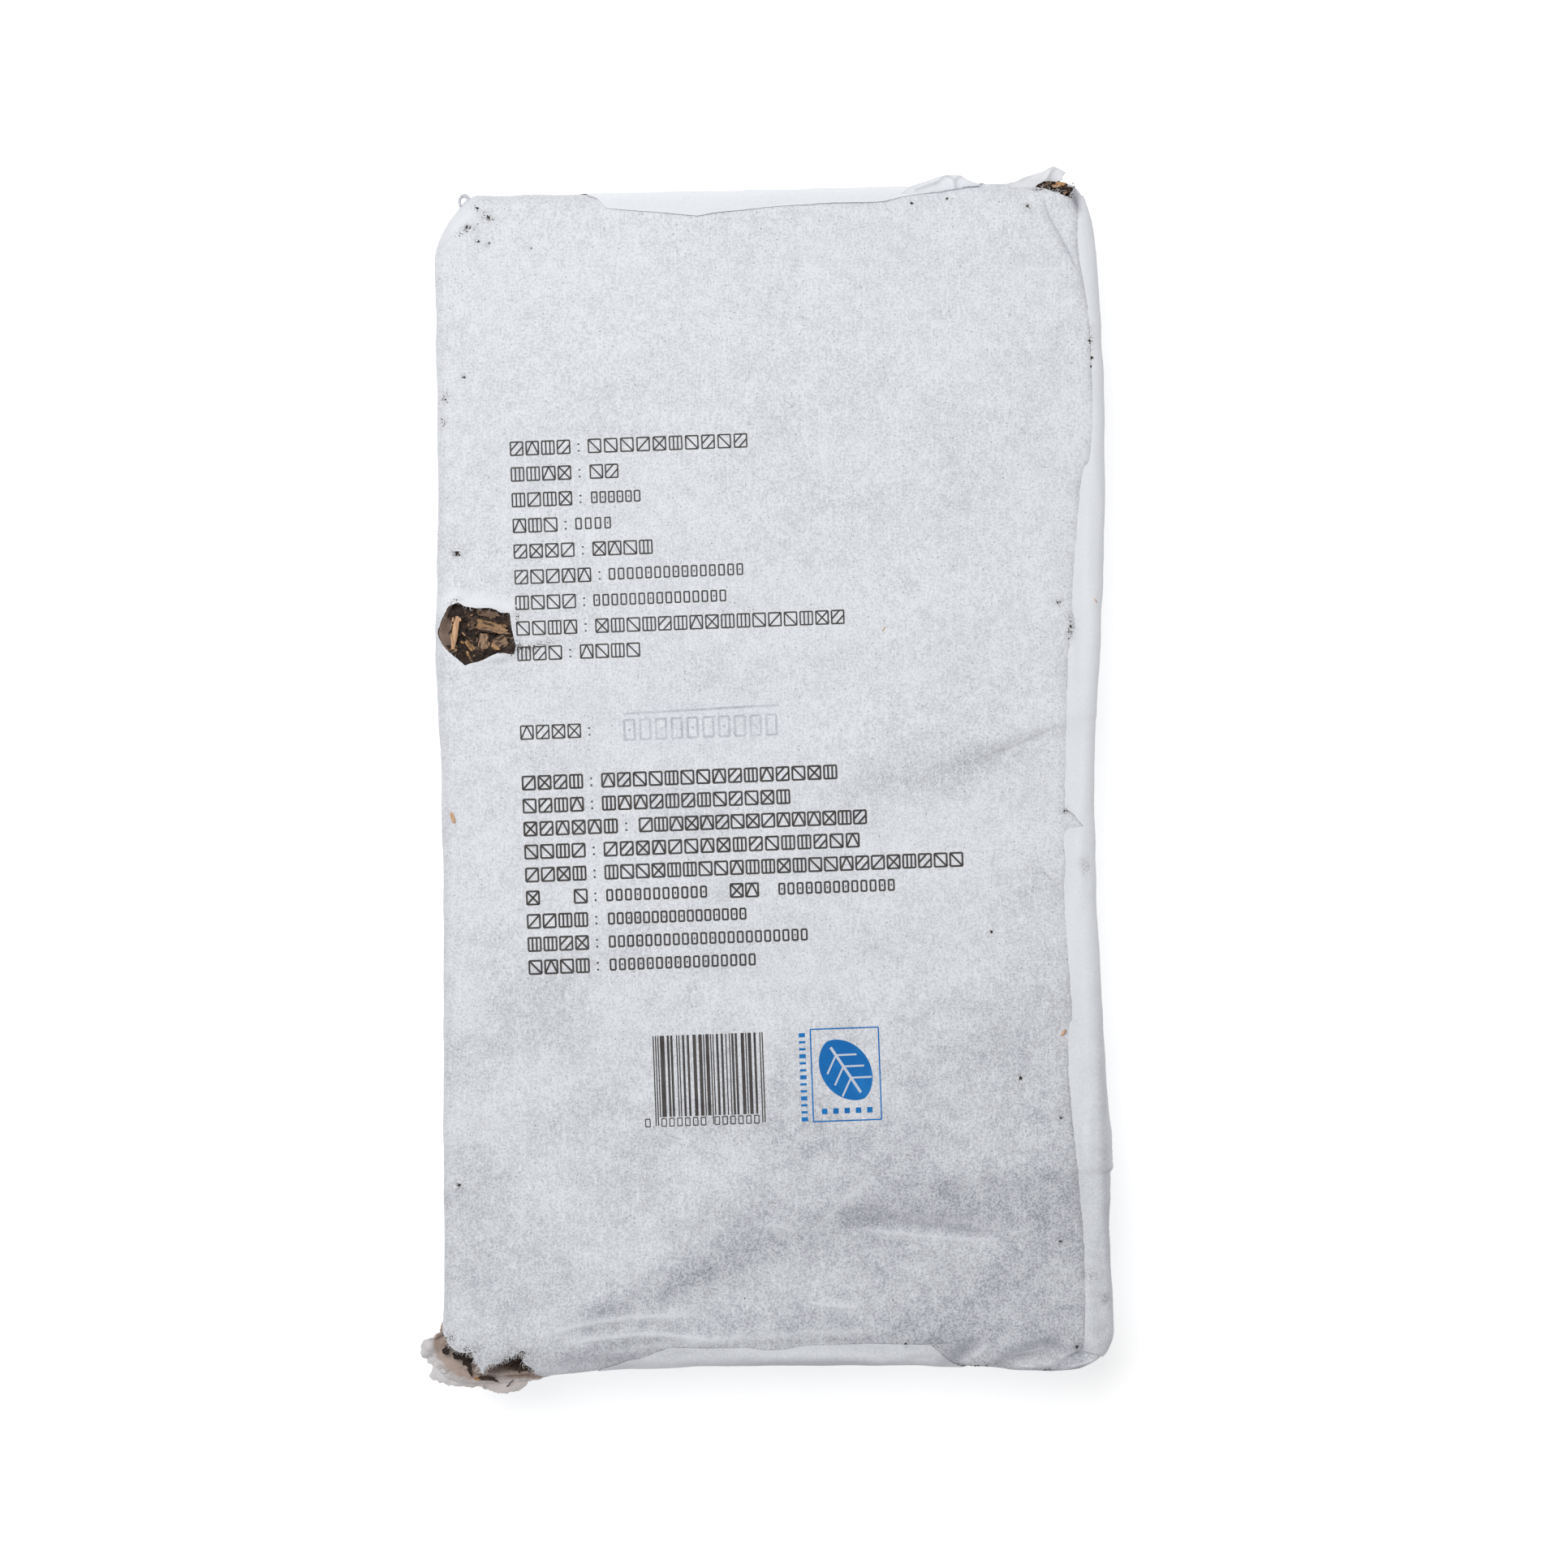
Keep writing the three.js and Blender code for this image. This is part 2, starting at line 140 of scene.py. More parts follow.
# The burst corner's flared paper: its ragged rim, the line where its stained inner side turns white, and
# its inner end under the torn edge
BURST_RIM = [
    (-73.1, -117.0), (-73.7, -119.7), (-74.5, -122.3), (-75.9, -123.5), (-78.0, -124.4),
    (-78.9, -126.0), (-78.2, -127.5), (-76.9, -128.5), (-76.0, -129.9), (-76.6, -131.8),
    (-75.3, -133.1), (-73.0, -133.7), (-70.3, -134.1), (-67.6, -134.4), (-64.3, -135.0),
    (-61.2, -135.6), (-58.5, -135.3), (-56.0, -134.6), (-55.0, -133.5), (-52.4, -132.9),
    (-49.8, -131.6),
]
BURST_WHITE = [
    (-74.6, -117.6), (-74.8, -122.2), (-75.8, -124.2), (-75.2, -128.0), (-73.6, -130.4),
    (-69.5, -132.6), (-66.2, -132.6), (-60.0, -132.5), (-52.0, -132.4), (-49.0, -132.0),
]
BURST_INNER = [
    (-71.6, -117.4), (-69.2, -121.2), (-65.6, -123.2), (-61.0, -124.6), (-56.0, -124.4),
    (-50.8, -127.2), (-48.6, -130.4),
]

# The tea brick
BRICK_HALF = (70.8, 129.3)
BRICK_MIDDLE = (-0.65, 0.4)
BRICK_TURN = 0.65  # degrees
BRICK_BOTTOM, BRICK_TOP = 0.8, 30.8
BRICK_CORNER, BRICK_EDGE = 9.0, 2.6
# Places where tea has crumbled away: middle and reach of each hollow
HOLLOWS = [
    ((-71.5, -132, 31), (17, 11, 20)), ((-66.0, 33.2, 33.4), (10.5, 8.5, 4.0)),
    ((66, 134, 34), (9, 6, 7)),
]


# ---------------------------------------------------------------- numbers, noise and curves

HASH_X, HASH_Y, HASH_SEED, HASH_MIX = 374761393, 668265263, 974634777, 1274126177  # large odd numbers
HASH_WORD, HASH_RANGE = 0xFFFFFFFF, 0xFFFFFF


def smoothstep(low, high, value):
    """0 at the first value and before it, 1 at the second and past it, with a smooth change between."""
    part = np.clip((np.asarray(value, float) - low) / (high - low), 0, 1)
    return part * part * (3 - 2 * part)


def lattice(ix, iy, seed):
    """A repeatable number from 0 to 1 for each whole-numbered place."""
    mixed = ix.astype(np.int64) * HASH_X + iy.astype(np.int64) * HASH_Y + seed * HASH_SEED
    mixed = mixed & HASH_WORD
    mixed = ((mixed ^ (mixed >> 13)) * HASH_MIX) & HASH_WORD
    return ((mixed ^ (mixed >> 16)) & HASH_RANGE) / HASH_RANGE


def noise(x, y, size, seed):
    """Smooth noise from -1 to 1 with features of one size."""
    u, v = np.asarray(x, float) / size, np.asarray(y, float) / size
    ix, iy = np.floor(u), np.floor(v)
    fx, fy = u - ix, v - iy
    fx, fy = fx**3 * (fx * (fx * 6 - 15) + 10), fy**3 * (fy * (fy * 6 - 15) + 10)
    low = lattice(ix, iy, seed) * (1 - fx) + lattice(ix + 1, iy, seed) * fx
    high = lattice(ix, iy + 1, seed) * (1 - fx) + lattice(ix + 1, iy + 1, seed) * fx
    return (low * (1 - fy) + high * fy) * 2 - 1


def spline(places, steps=8):
    """A smooth curve through places in plan."""
    p = np.array(places, float)
    p = np.vstack([2 * p[0] - p[1], p, 2 * p[-1] - p[-2]])
    t = np.linspace(0, 1, steps, endpoint=False)[:, None]
    runs = []
    for a, b, c, d in zip(p[:-3], p[1:-2], p[2:-1], p[3:]):
        runs.append(0.5 * (2 * b + (c - a) * t + (2 * a - 5 * b + 4 * c - d) * t**2
                           + (3 * b - a - 3 * c + d) * t**3))
    return np.vstack(runs + [p[-2]])


def corner(start, through, end, steps=16):
    """A rounded corner between two sides, without their ends."""
    t = np.linspace(0, 1, steps + 1)[1:-1, None]
    a, b, c = (np.array(p, float) for p in (start, through, end))
    return (1 - t) ** 2 * a + 2 * t * (1 - t) * b + t**2 * c


def run_lengths(line):
    """How far along a line each of its points lies."""
    return np.r_[0, np.cumsum(np.linalg.norm(np.diff(line, axis=0), axis=1))]


def points_at(line, lengths, at):
    """Points at given distances along a line."""
    return np.stack([np.interp(at, lengths, line[:, k]) for k in range(line.shape[1])], 1)


def walk(line, step, closed=False):
    """Points at equal steps along a line. An open line keeps both ends."""
    line = np.asarray(line, float)
    if closed:
        line = np.vstack([line, line[:1]])
    lengths = run_lengths(line)
    count = max(2, int(round(lengths[-1] / step)))
    at = np.linspace(0, lengths[-1], count + 1)
    return points_at(line, lengths, at[:-1] if closed else at)


def spread(line, count):
    """A given number of points at equal steps along an open line."""
    lengths = run_lengths(line)
    return points_at(line, lengths, np.linspace(0, lengths[-1], count))


def cos_sin(degrees):
    return math.cos(math.radians(degrees)), math.sin(math.radians(degrees))


def leftwards(line, closed=False):
    """The unit direction to the left of a line at each of its points."""
    if closed:
        along = np.roll(line, -1, 0) - np.roll(line, 1, 0)
    else:
        along = np.gradient(line, axis=0)
    along = along / (np.linalg.norm(along, axis=1)[:, None] + TINY)
    return np.stack([-along[:, 1], along[:, 0]], 1)


def ragged(line, step, depth, seed, closed=False):
    """A torn edge: the line at short steps, with teeth of several sizes."""
    points = walk(line, step, closed)
    at = np.arange(len(points)) * step
    teeth = noise(at, at * 0, 2.2, seed) + 0.7 * noise(at, at * 0, 0.9, seed + 1)
    teeth = teeth + 0.45 * noise(at, at * 0, 0.4, seed + 2)
    if not closed:
        teeth = teeth * smoothstep(0, 1.5, at) * smoothstep(0, 1.5, at[-1] - at)
    return points + leftwards(points, closed) * (teeth * depth)[:, None]


def inside(points, loop):
    """Which points lie inside a closed loop."""
    found = np.zeros(len(points), bool)
    x, y = points[:, 0], points[:, 1]
    for (ax, ay), (bx, by) in zip(loop, np.roll(loop, -1, 0)):
        if ay != by:
            found ^= ((ay > y) != (by > y)) & (x < (bx - ax) * (y - ay) / (by - ay) + ax)
    return found


def to_line(points, line, closed=False):
    """The distance from each point to a line, and how far along the line its nearest place is."""
    line = np.asarray(line, float)
    if closed:
        line = np.vstack([line, line[:1]])
    best = np.full(len(points), np.inf)
    where = np.zeros(len(points))
    run = 0.0
    for a, b in zip(line[:-1], line[1:]):
        edge = b - a
        length = np.linalg.norm(edge) + TINY
        part = np.clip(((points - a) @ edge) / length**2, 0, 1)
        gap = np.linalg.norm(points - a - part[:, None] * edge, axis=1)
        closer = gap < best
        best[closer] = gap[closer]
        where[closer] = (run + part * length)[closer]
        run += length
    return best, where


# ---------------------------------------------------------------- the pack's surface

OUTLINE_STEP = 0.4
OUTLINE = walk(np.vstack([
    spline(RIGHT_SIDE), corner(RIGHT_SIDE[-1], HEAD_RIGHT, HEAD_SIDE[0]),
    spline(HEAD_SIDE), corner(HEAD_SIDE[-1], HEAD_LEFT, LEFT_SIDE[0]),
    spline(LEFT_SIDE), corner(LEFT_SIDE[-1], FOOT_LEFT, FOOT_SIDE[0]),
    spline(FOOT_SIDE), corner(FOOT_SIDE[-1], FOOT_RIGHT, RIGHT_SIDE[0]),
]), OUTLINE_STEP, closed=True)
OUTWARDS = -leftwards(OUTLINE, closed=True)
OUTLINE_TREE = KDTree(len(OUTLINE))
for number, (x_place, y_place) in enumerate(OUTLINE):
    OUTLINE_TREE.insert((x_place, y_place, 0), number)
OUTLINE_TREE.balance()
QUARTER = EDGE * math.pi / 2  # along the paper, round the upper edge
WALL_TOP = QUARTER - EDGE + WALL_START
WALL_LENGTH = WALL + FOOT_EDGE * math.pi / 2 - WALL_START  # from there to the underside


def rim_of(flat):
    """For flat places: the outline's nearest place, the way outwards there, and how far outside it."""
    index = np.array([OUTLINE_TREE.find((x, y, 0))[1] for x, y in flat])
    out = OUTWARDS[index]
    along = np.stack([-out[:, 1], out[:, 0]], 1)
    slide = np.clip(np.sum((flat - OUTLINE[index]) * along, axis=1), -OUTLINE_STEP, OUTLINE_STEP)
    foot = OUTLINE[index] + along * slide[:, None]
    return foot, out, np.sum((flat - foot) * out, axis=1)


def on_pack(flat, rim, proud=0.0):
    """Flat places become places on the pack: on top, round the edge, down the wall and under it."""
    foot, out, past = rim
    run = past + EDGE
    turn = np.clip(run / EDGE, 0, math.pi / 2)
    down = np.maximum(run - QUARTER, 0)
    low_turn = np.clip((down - WALL) / FOOT_EDGE, 0, math.pi / 2)
    inset = EDGE * (1 - np.sin(turn)) + FOOT_EDGE * (1 - np.cos(low_turn))
    place = np.zeros((len(flat), 3))
    place[:, :2] = np.where((run <= 0)[:, None], flat, foot - out * inset[:, None])
    place[:, 2] = TOP - EDGE * (1 - np.cos(turn)) - np.minimum(down, WALL) - FOOT_EDGE * np.sin(low_turn)
    sideways = np.sin(turn) * np.cos(low_turn)
    normal = np.column_stack([out * sideways[:, None], np.cos(turn) - np.sin(low_turn)])
    normal /= np.linalg.norm(normal, axis=1)[:, None] + TINY
    place += normal * np.broadcast_to(np.asarray(proud, float), len(flat))[:, None]
    place[:, 2] = np.maximum(place[:, 2], 0.0)
    return place


# Creases in the paper: places along each, how high it stands (or, below 0, how deep it lies), its width
CREASES = [
    ([(-23.7, 112.6), (-14, 113.5), (-5.0, 114.6)], 0.10, 1.3),
    ([(46.0, 5.9), (53.6, 8.6), (57.2, 10.2), (65.0, 13.8)], -0.40, 0.9),
    ([(14, -95.5), (26.6, -96.6), (39, -98.2), (52, -99.8)], -0.50, 2.4),
    ([(14, -98.3), (26.6, -99.4), (39, -100.6), (52, -101.6)], 0.30, 1.2),
    ([(-2, -97.3), (2, -98.0), (4.2, -98.8)], 0.24, 1.0),
    ([(6.8, -114.6), (13, -115.4), (20.3, -115.8)], 0.38, 1.1),
    ([(51.8, -99.8), (54, -99.3), (57.2, -98.4)], 0.34, 1.0),
    ([(-54, -122.5), (-36, -118.5), (-14, -117.4)], 0.45, 1.5),
    ([(-48, -123.9), (-28, -121.8), (-8, -124.0)], 0.45, 1.3),
    ([(7.5, -100.5), (16, -92), (24, -86)], 0.24, 5.0),
    ([(42.4, -129.6), (48.5, -127.6), (55.9, -126.0), (60.8, -124.6)], 0.70, 0.8),
    ([(60.4, -123.6), (62.5, -124.6), (64.8, -125.4)], -0.55, 0.7),
    ([(51.0, -129.4), (57.0, -129.2), (61.8, -128.6), (64.2, -127.0), (68.2, -125.1)], 0.65, 0.8),
    ([(62.6, -130.0), (64.8, -128.1), (66.7, -126.8), (69.4, -125.6)], -0.75, 0.8),
    ([(62.8, -130.6), (67.8, -128.8), (71.8, -127.6), (74.4, -125.6)], 0.60, 0.9),
    ([(40.8, -129.4), (44.7, -126.5), (48.6, -124.0)], 0.50, 1.0),
    ([(68.9, -111.7), (71.8, -112.2), (75.0, -113.1)], 0.35, 0.6),
    ([(50.8, -127.4), (57, -128.2), (62.5, -127.6)], 0.24, 2.0),
    ([(68.2, -124.8), (72.4, -123.9), (74.4, -122.0), (75.4, -119.8)], 0.50, 0.9),
    ([(-46, -128.2), (-30, -125.0), (-12, -123.2), (10, -121.6), (30, -121.4)], 0.30, 2.6),
    ([(-8.0, -129.7), (-1.6, -128.1), (6.5, -127.3), (15.7, -127.5), (25.4, -128.6), (38.5, -129.6)],
     0.34, 0.7),
    ([(-33.4, -129.7), (-29.1, -128.3), (-20.4, -127.5), (-14.0, -128.1)], 0.22, 0.6),
    ([(-7.4, -125.4), (-6.4, -127.4)], 0.25, 0.8),
    ([(71.0, 80.5), (71.3, 72.5), (71.6, 68.9), (72.9, 63.3), (73.4, 52.0)], 0.26, 0.6),
    ([(70.9, 30.0), (70.4, 19.9), (69.8, 7.8), (69.4, -0.3), (68.7, -10.0)], 0.22, 0.7),
    ([(71.2, 45.5), (71.6, 41.0), (72.0, 38.5)], 0.20, 0.6),
    ([(66.8, -15.5), (67.6, -20.5), (66.4, -30.0)], 0.16, 0.7),
    ([(71.2, -67.0), (70.2, -74.0), (70.5, -84.0)], 0.22, 0.8),
    ([(-64.6, 27.0), (-60.5, 26.0), (-56.3, 27.1)], 0.25, 1.0),
    ([(59.3, 131.4), (60.6, 127.8), (62.1, 124.4), (65.4, 118.5), (68.2, 112.4)], -0.50, 0.7),
    ([(66.9, 131.0), (68.0, 128.6), (69.4, 126.3)], -0.50, 0.8),
    ([(-74.1, 121.6), (-69.2, 122.9), (-66.5, 126.8), (-67.9, 129.0)], 0.30, 1.4),
    ([(-73.5, 62), (-73.2, 40)], -0.12, 2.0),
]


# Broad swells in the paper, from left to right: places along the crest, its height, and how far it
# reaches on the head's side and on the foot's
SWELLS = [
    ([(-70, -129), (-50, -119.5), (-30, -112.5), (-12, -102.5), (6, -96.5), (22, -90), (38, -86.5),
      (66, -85.5)], 2.1, 24, 6.5),
    ([(-62, -50), (-40, -51.5), (-10, -55), (12, -58)], 0.35, 14, 6.0),
    ([(10, 1.5), (30, 5.0), (47, 9.0), (57, 11.5), (66, 15.0)], 0.75, 10, 3.4),
    ([(-4, 66), (12, 65), (38, 69)], 0.22, 9, 4.5),
    ([(20, 30), (45, 38), (64, 46)], 0.22, 12, 5.0),
    ([(10, -31), (40, -22), (66, -16)], 0.30, 12, 6.0),
    ([(-34, 90), (-24, 106), (-14, 124)], 0.20, 8, 5.0),
    ([(-52, -128.5), (-34, -124.5), (-14, -122), (16, -120.5), (40, -121)], 0.65, 5.0, 3.0),
    ([(10, -117), (26, -110), (44, -106), (66, -104)], 0.45, 8, 4.0),
]


def swell_relief(flat):
    """Soft crests with a long rise on the head's side, a shorter fall on the foot's, and fading ends."""
    total = np.zeros(len(flat))
    x, y = flat[:, 0], flat[:, 1]
    for places, height, rise, fall in SWELLS:
        line = spline(places)
        gap, _ = to_line(flat, line)
        beyond = y < np.interp(x, line[:, 0], line[:, 1])
        reach = np.where(beyond, fall, rise)
        span = line[-1, 0] - line[0, 0]
        ends = smoothstep(line[0, 0] - 0.15 * span, line[0, 0] + 0.2 * span, x)
        ends = ends * smoothstep(line[-1, 0] + 0.3 * span, line[-1, 0] - 0.1 * span, x)
        total += height * ends * (0.8 + 0.2 * noise(x, y, 9, 22)) * np.exp(-((gap / reach) ** 1.5))
    return total


CREASE_FULL = 0.5  # a crease this high or deep gets its full painted highlight on a ridge, painted shade in a valley
CREASE_STEP = 2.0  # between the points that stand for a crease


def crease_line(places, step):
    return walk(spline(places) if len(places) > 2 else np.array(places, float), step)


def crease_reach(flat, places, share):
    """How far each place is from a crease, and how much of the crease is left so near to its ends."""
    line = crease_line(places, CREASE_STEP)
    gap, where = to_line(flat, line)
    length = np.sum(np.linalg.norm(np.diff(line, axis=0), axis=1))
    fade = share * length
    return gap, smoothstep(0, fade, where) * smoothstep(0, fade, length - where)


def crease_relief(flat):
    """Sharp ridges and valleys that fade out at both ends."""
    total = np.zeros(len(flat))
    for places, height, width in CREASES:
        gap, ends = crease_reach(flat, places, 0.3)
        total += height * ends * np.exp(-gap / width)
    return total


def crease_marks(flat, sign):
    """How close each place is to a ridge (sign 1) or a valley (sign -1), from 0 to 1: the share of a ridge's
    painted highlight, a valley's painted shade.
    """
    total = np.zeros(len(flat))
    for places, height, width in CREASES:
        if height * sign <= 0:
            continue
        gap, ends = crease_reach(flat, places, 0.2)
        strength = min(1.0, abs(height) / CREASE_FULL)
        total = np.maximum(total, strength * ends * np.exp(-((gap / (0.5 * min(width, 1.8))) ** 2)))
    return total


SEAM_COARSE = [*SEAM_UPPER, *SEAM_NOTCH, *SEAM_LOWER]


def tear_lift(flat):
    """How the paper curls up beside its tears."""
    x, y = flat[:, 0], flat[:, 1]
    edge, _ = to_line(flat, EDGE_TEAR, closed=True)
    above = smoothstep(36.5, 40, y) * smoothstep(-74, -70, x)
    beside = smoothstep(-60, -57, x) * smoothstep(27, 30, y)
    lift = (1.0 * above + 0.35 * beside + 0.12) * np.exp(-((edge / 2.6) ** 2))
    burst, _ = to_line(flat, BURST_EDGE)
    return lift + 0.3 * np.exp(-((burst / 2.0) ** 2)) * noise(x, y, 3.0, 21)


def seam_dip(flat):
    """The sheet sinks a little towards the long seam, whose lap bridges the dip."""
    dip = np.zeros(len(flat))
    near = np.flatnonzero(flat[:, 0] > 56)
    if len(near):
        gap, _ = to_line(flat[near], SEAM_COARSE)
        dip[near] = SEAM_DEPTH * np.exp(-gap / 1.6) * (0.7 + 0.5 * noise(flat[near, 1], gap * 0, 23, 33))
    return dip


def paper_relief(flat, past):
    """How far the single layer of paper stands off its mean surface."""
    x, y = flat[:, 0], flat[:, 1]
    slack = smoothstep(-20, -130, y)  # the paper is slacker towards the foot
    soft = 0.22 * noise(x, y, 46, 3) + (0.10 + 0.14 * slack) * noise(x + 0.5 * y, y * 1.5, 19, 5)
    lumps = (0.035 + 0.03 * slack) * noise(x, y, 5.2, 7)
    slanting = np.maximum(0, noise(x * 0.55 - y * 0.35, x * 0.3 + y * 1.2, 13, 9))
    folds = (0.05 + 0.22 * slack) * slanting**2
    puckers = 0.16 * smoothstep(-4.5, -1, past) * noise(x * 1.2, y * 1.2, 6.5, 11)
    worn = -1.1 * smoothstep(-121, -130.5, y) * smoothstep(-52, -30, x)
    net = 1 - np.abs(noise(0.8 * x + 0.3 * y, 0.8 * y - 0.3 * x, 15, 10))
    crumpled = 0.40 * smoothstep(3, 9, past) * net**5
    dent = -0.9 * np.exp(-(((x - 67.6) / 2.2) ** 2 + ((y - 129.6) / 3.4) ** 2))
    raised = crease_relief(flat) + swell_relief(flat) + tear_lift(flat)
    return soft + lumps + folds + puckers + crumpled + worn + dent + raised - seam_dip(flat)


def end_folds(place):
    """On the end walls, the flap that comes down stands proud of the tucked sides."""
    depth = TOP - place[:, 2]
    at_end = smoothstep(122, 129, np.abs(place[:, 1])) * smoothstep(0.5, 2.5, depth)
    half = 71.5 - depth  # the flap narrows at 45 degrees
    return 0.35 * at_end * smoothstep(0.5, -0.5, np.abs(place[:, 0]) - half)


def folded(flat, rim, proud=0.0):
    """Flat places on the pack with all the paper's relief, and proud of it by some more."""
    place = on_pack(flat, rim)
    relief = paper_relief(flat, rim[2]) * smoothstep(0, 3, place[:, 2]) + end_folds(place)
    return on_pack(flat, rim, relief + proud)


# ---------------------------------------------------------------- meshes

def triangulate(loops, points):
    """Triangles that fill the first loop outside the others, and use every point given."""
    edges, start = [], 0
    for loop in loops:
        edges += [(start + k, start + (k + 1) % len(loop)) for k in range(len(loop))]
        start += len(loop)
    made = delaunay_2d_cdt([Vector(p) for p in np.vstack([*loops, points])], edges, [], 0, 1e-6)
    places = np.array([tuple(v) for v in made[0]])
    faces = np.array([f for f in made[2] if len(f) == 3])
    middles = places[faces].mean(axis=1)
    keep = inside(middles, loops[0])
    for hole in loops[1:]:
        keep &= ~inside(middles, hole)
    faces = faces[keep]
    a, b, c = (places[faces[:, k]] for k in range(3))
    turned = (b - a)[:, 0] * (c - a)[:, 1] < (b - a)[:, 1] * (c - a)[:, 0]
    faces[turned] = faces[turned][:, ::-1]
    used, faces = np.unique(faces, return_inverse=True)
    return places[used], faces.reshape(-1, 3)


def scatter(low, high, step, seed):
    """Points of a slightly uneven triangular grid."""
    rows = np.arange(low[1], high[1], step * 0.866)
    x, y = np.meshgrid(np.arange(low[0], high[0], step), rows)
    x = x + (np.arange(len(rows)) % 2)[:, None] * step / 2
    points = np.column_stack([x.ravel(), y.ravel()])
    return points + np.random.default_rng(seed).uniform(-0.16, 0.16, points.shape) * step


def filled(loop, step, seed=1):
    """A flat mesh that fills one loop."""
    points = scatter(loop.min(axis=0), loop.max(axis=0), step, seed)
    points = points[inside(points, loop)]
    if len(points):
        points = points[to_line(points, loop, True)[0] > 0.5 * step]
    return triangulate([loop], points)


def vertex_normals(places, faces):
    a, b, c = (places[faces[:, k]] for k in range(3))
    flat = np.cross(b - a, c - a)
    normals = np.zeros_like(places)
    for k in range(3):
        np.add.at(normals, faces[:, k], flat)
    return normals / (np.linalg.norm(normals, axis=1)[:, None] + TINY)


def thicken(places, faces, thickness=SHEET):
    """A closed sheet: two sides, the second below the first, and a narrow edge between them."""
    count = len(places)
    under = places - vertex_normals(places, faces) * thickness
    edges = np.vstack([faces[:, [0, 1]], faces[:, [1, 2]], faces[:, [2, 0]]])
    _, first, counts = np.unique(np.sort(edges, axis=1), axis=0, return_index=True, return_counts=True)
    rim = edges[first[counts == 1]]
    sides = np.vstack([
        np.column_stack([rim[:, 1], rim[:, 0], rim[:, 0] + count]),
        np.column_stack([rim[:, 1], rim[:, 0] + count, rim[:, 1] + count]),
    ])
    return np.vstack([places, under]), np.vstack([faces, faces[:, ::-1] + count, sides])


MERGE_STEPS = 2000  # in each millimetre: places are rounded to them before they are compared


def join(parts):
    """Puts meshes together and merges places that round to the same one."""
    places, faces, start = [], [], 0
    for part_places, part_faces in parts:
        places.append(part_places)
        faces.append(part_faces + start)
        start += len(part_places)
    places, faces = np.vstack(places), np.vstack(faces)
    keys = np.round(places * MERGE_STEPS).astype(np.int64)
    _, first, same = np.unique(keys, axis=0, return_index=True, return_inverse=True)
    faces = same.reshape(-1)[faces]
    keep = (faces[:, 0] != faces[:, 1]) & (faces[:, 1] != faces[:, 2]) & (faces[:, 2] != faces[:, 0])
    return places[first], faces[keep]


def loft(rows, closed=False):
    """A surface through rows of points, seen from the side where the rows run from right to left."""
    count = len(rows[0])
    faces = []
    for row in range(len(rows) - 1):
        for column in range(count if closed else count - 1):
            a, b = row * count + column, row * count + (column + 1) % count
            faces += [(a, a + count, b), (b, a + count, b + count)]
    return np.vstack(rows), np.array(faces)


def make_piece(name, places, faces, material, values=None, sharp=50):
    """A Blender object from places in millimetres, riding on the pack."""
    mesh = bpy.data.meshes.new(name)
    mesh.from_pydata((np.asarray(places) * MM).tolist(), [], np.asarray(faces).tolist())
    for key, numbers in (values or {}).items():
        layer = mesh.attributes.new(key, "FLOAT", "POINT")
        layer.data.foreach_set("value", np.broadcast_to(numbers, len(places)).astype(np.float32))
    mesh.materials.append(material)
    mesh.shade_smooth()
    mesh.set_sharp_from_angle(angle=math.radians(sharp))
    mesh.update()
    piece = bpy.data.objects.new(name, mesh)
    bpy.context.scene.collection.objects.link(piece)
    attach(piece, BODY)
    return piece


class Heap:
    """Small closed solids in one mesh, each with a tone and its own places along and across it."""

    def __init__(self):
        self.places, self.faces, self.tones, self.grains, self.count = [], [], [], [], 0

    def add(self, solid, tone=0.0, grain=None):
        places, faces = solid
        self.places.append(places)
        self.faces.append(np.asarray(faces) + self.count)
        self.tones.append(np.full(len(places), float(tone)))
        self.grains.append(places[:, :2] if grain is None else grain)
        self.count += len(places)

    def make(self, name, material, slot, sharp=40):
        grains = np.vstack(self.grains)
        values = {"tone": np.concatenate(self.tones), "along": grains[:, 0], "across": grains[:, 1]}
        places, faces = np.vstack(self.places), np.vstack(self.faces)
        return make_piece(name, places, faces, material, values, sharp)


def turned(places, turn=0.0, tilt=0.0, roll=0.0):
    """Places rolled about X, tilted about Y and then turned about Z, in degrees."""
    places = np.array(places, float)
    for (i, j), degrees in (((1, 2), roll), ((2, 0), tilt), ((0, 1), turn)):
        c, s = cos_sin(degrees)
        first, second = places[:, i].copy(), places[:, j].copy()
        places[:, i], places[:, j] = c * first - s * second, s * first + c * second
    return places


NEARLY_UP = np.array([0.03, 0.05, 1.0])  # a little off upright, so that no tube runs along it


def tube(line, radius, sides=6, flatness=1.0):
    """A closed tube along a line in space. The radius may differ from place to place."""
    line = np.asarray(line, float)
    radius = np.broadcast_to(radius, len(line))
    along = np.gradient(line, axis=0)
    along /= np.linalg.norm(along, axis=1)[:, None] + TINY
    side = np.cross(along, NEARLY_UP)
    side /= np.linalg.norm(side, axis=1)[:, None] + TINY
    up = np.cross(side, along) * flatness
    rows = []
    for angle in np.linspace(0, 2 * math.pi, sides, endpoint=False):
        rows.append(line + (side * math.cos(angle) + up * math.sin(angle)) * radius[:, None])
    rings = np.stack(rows, 1)
    places, faces = loft(list(rings), closed=True)
    last = len(places) - sides
    ends = [(0, k, k + 1) for k in range(1, sides - 1)]
    ends += [(last, last + k + 1, last + k) for k in range(1, sides - 1)]
    return places, np.vstack([faces[:, ::-1], ends])[:, ::-1]


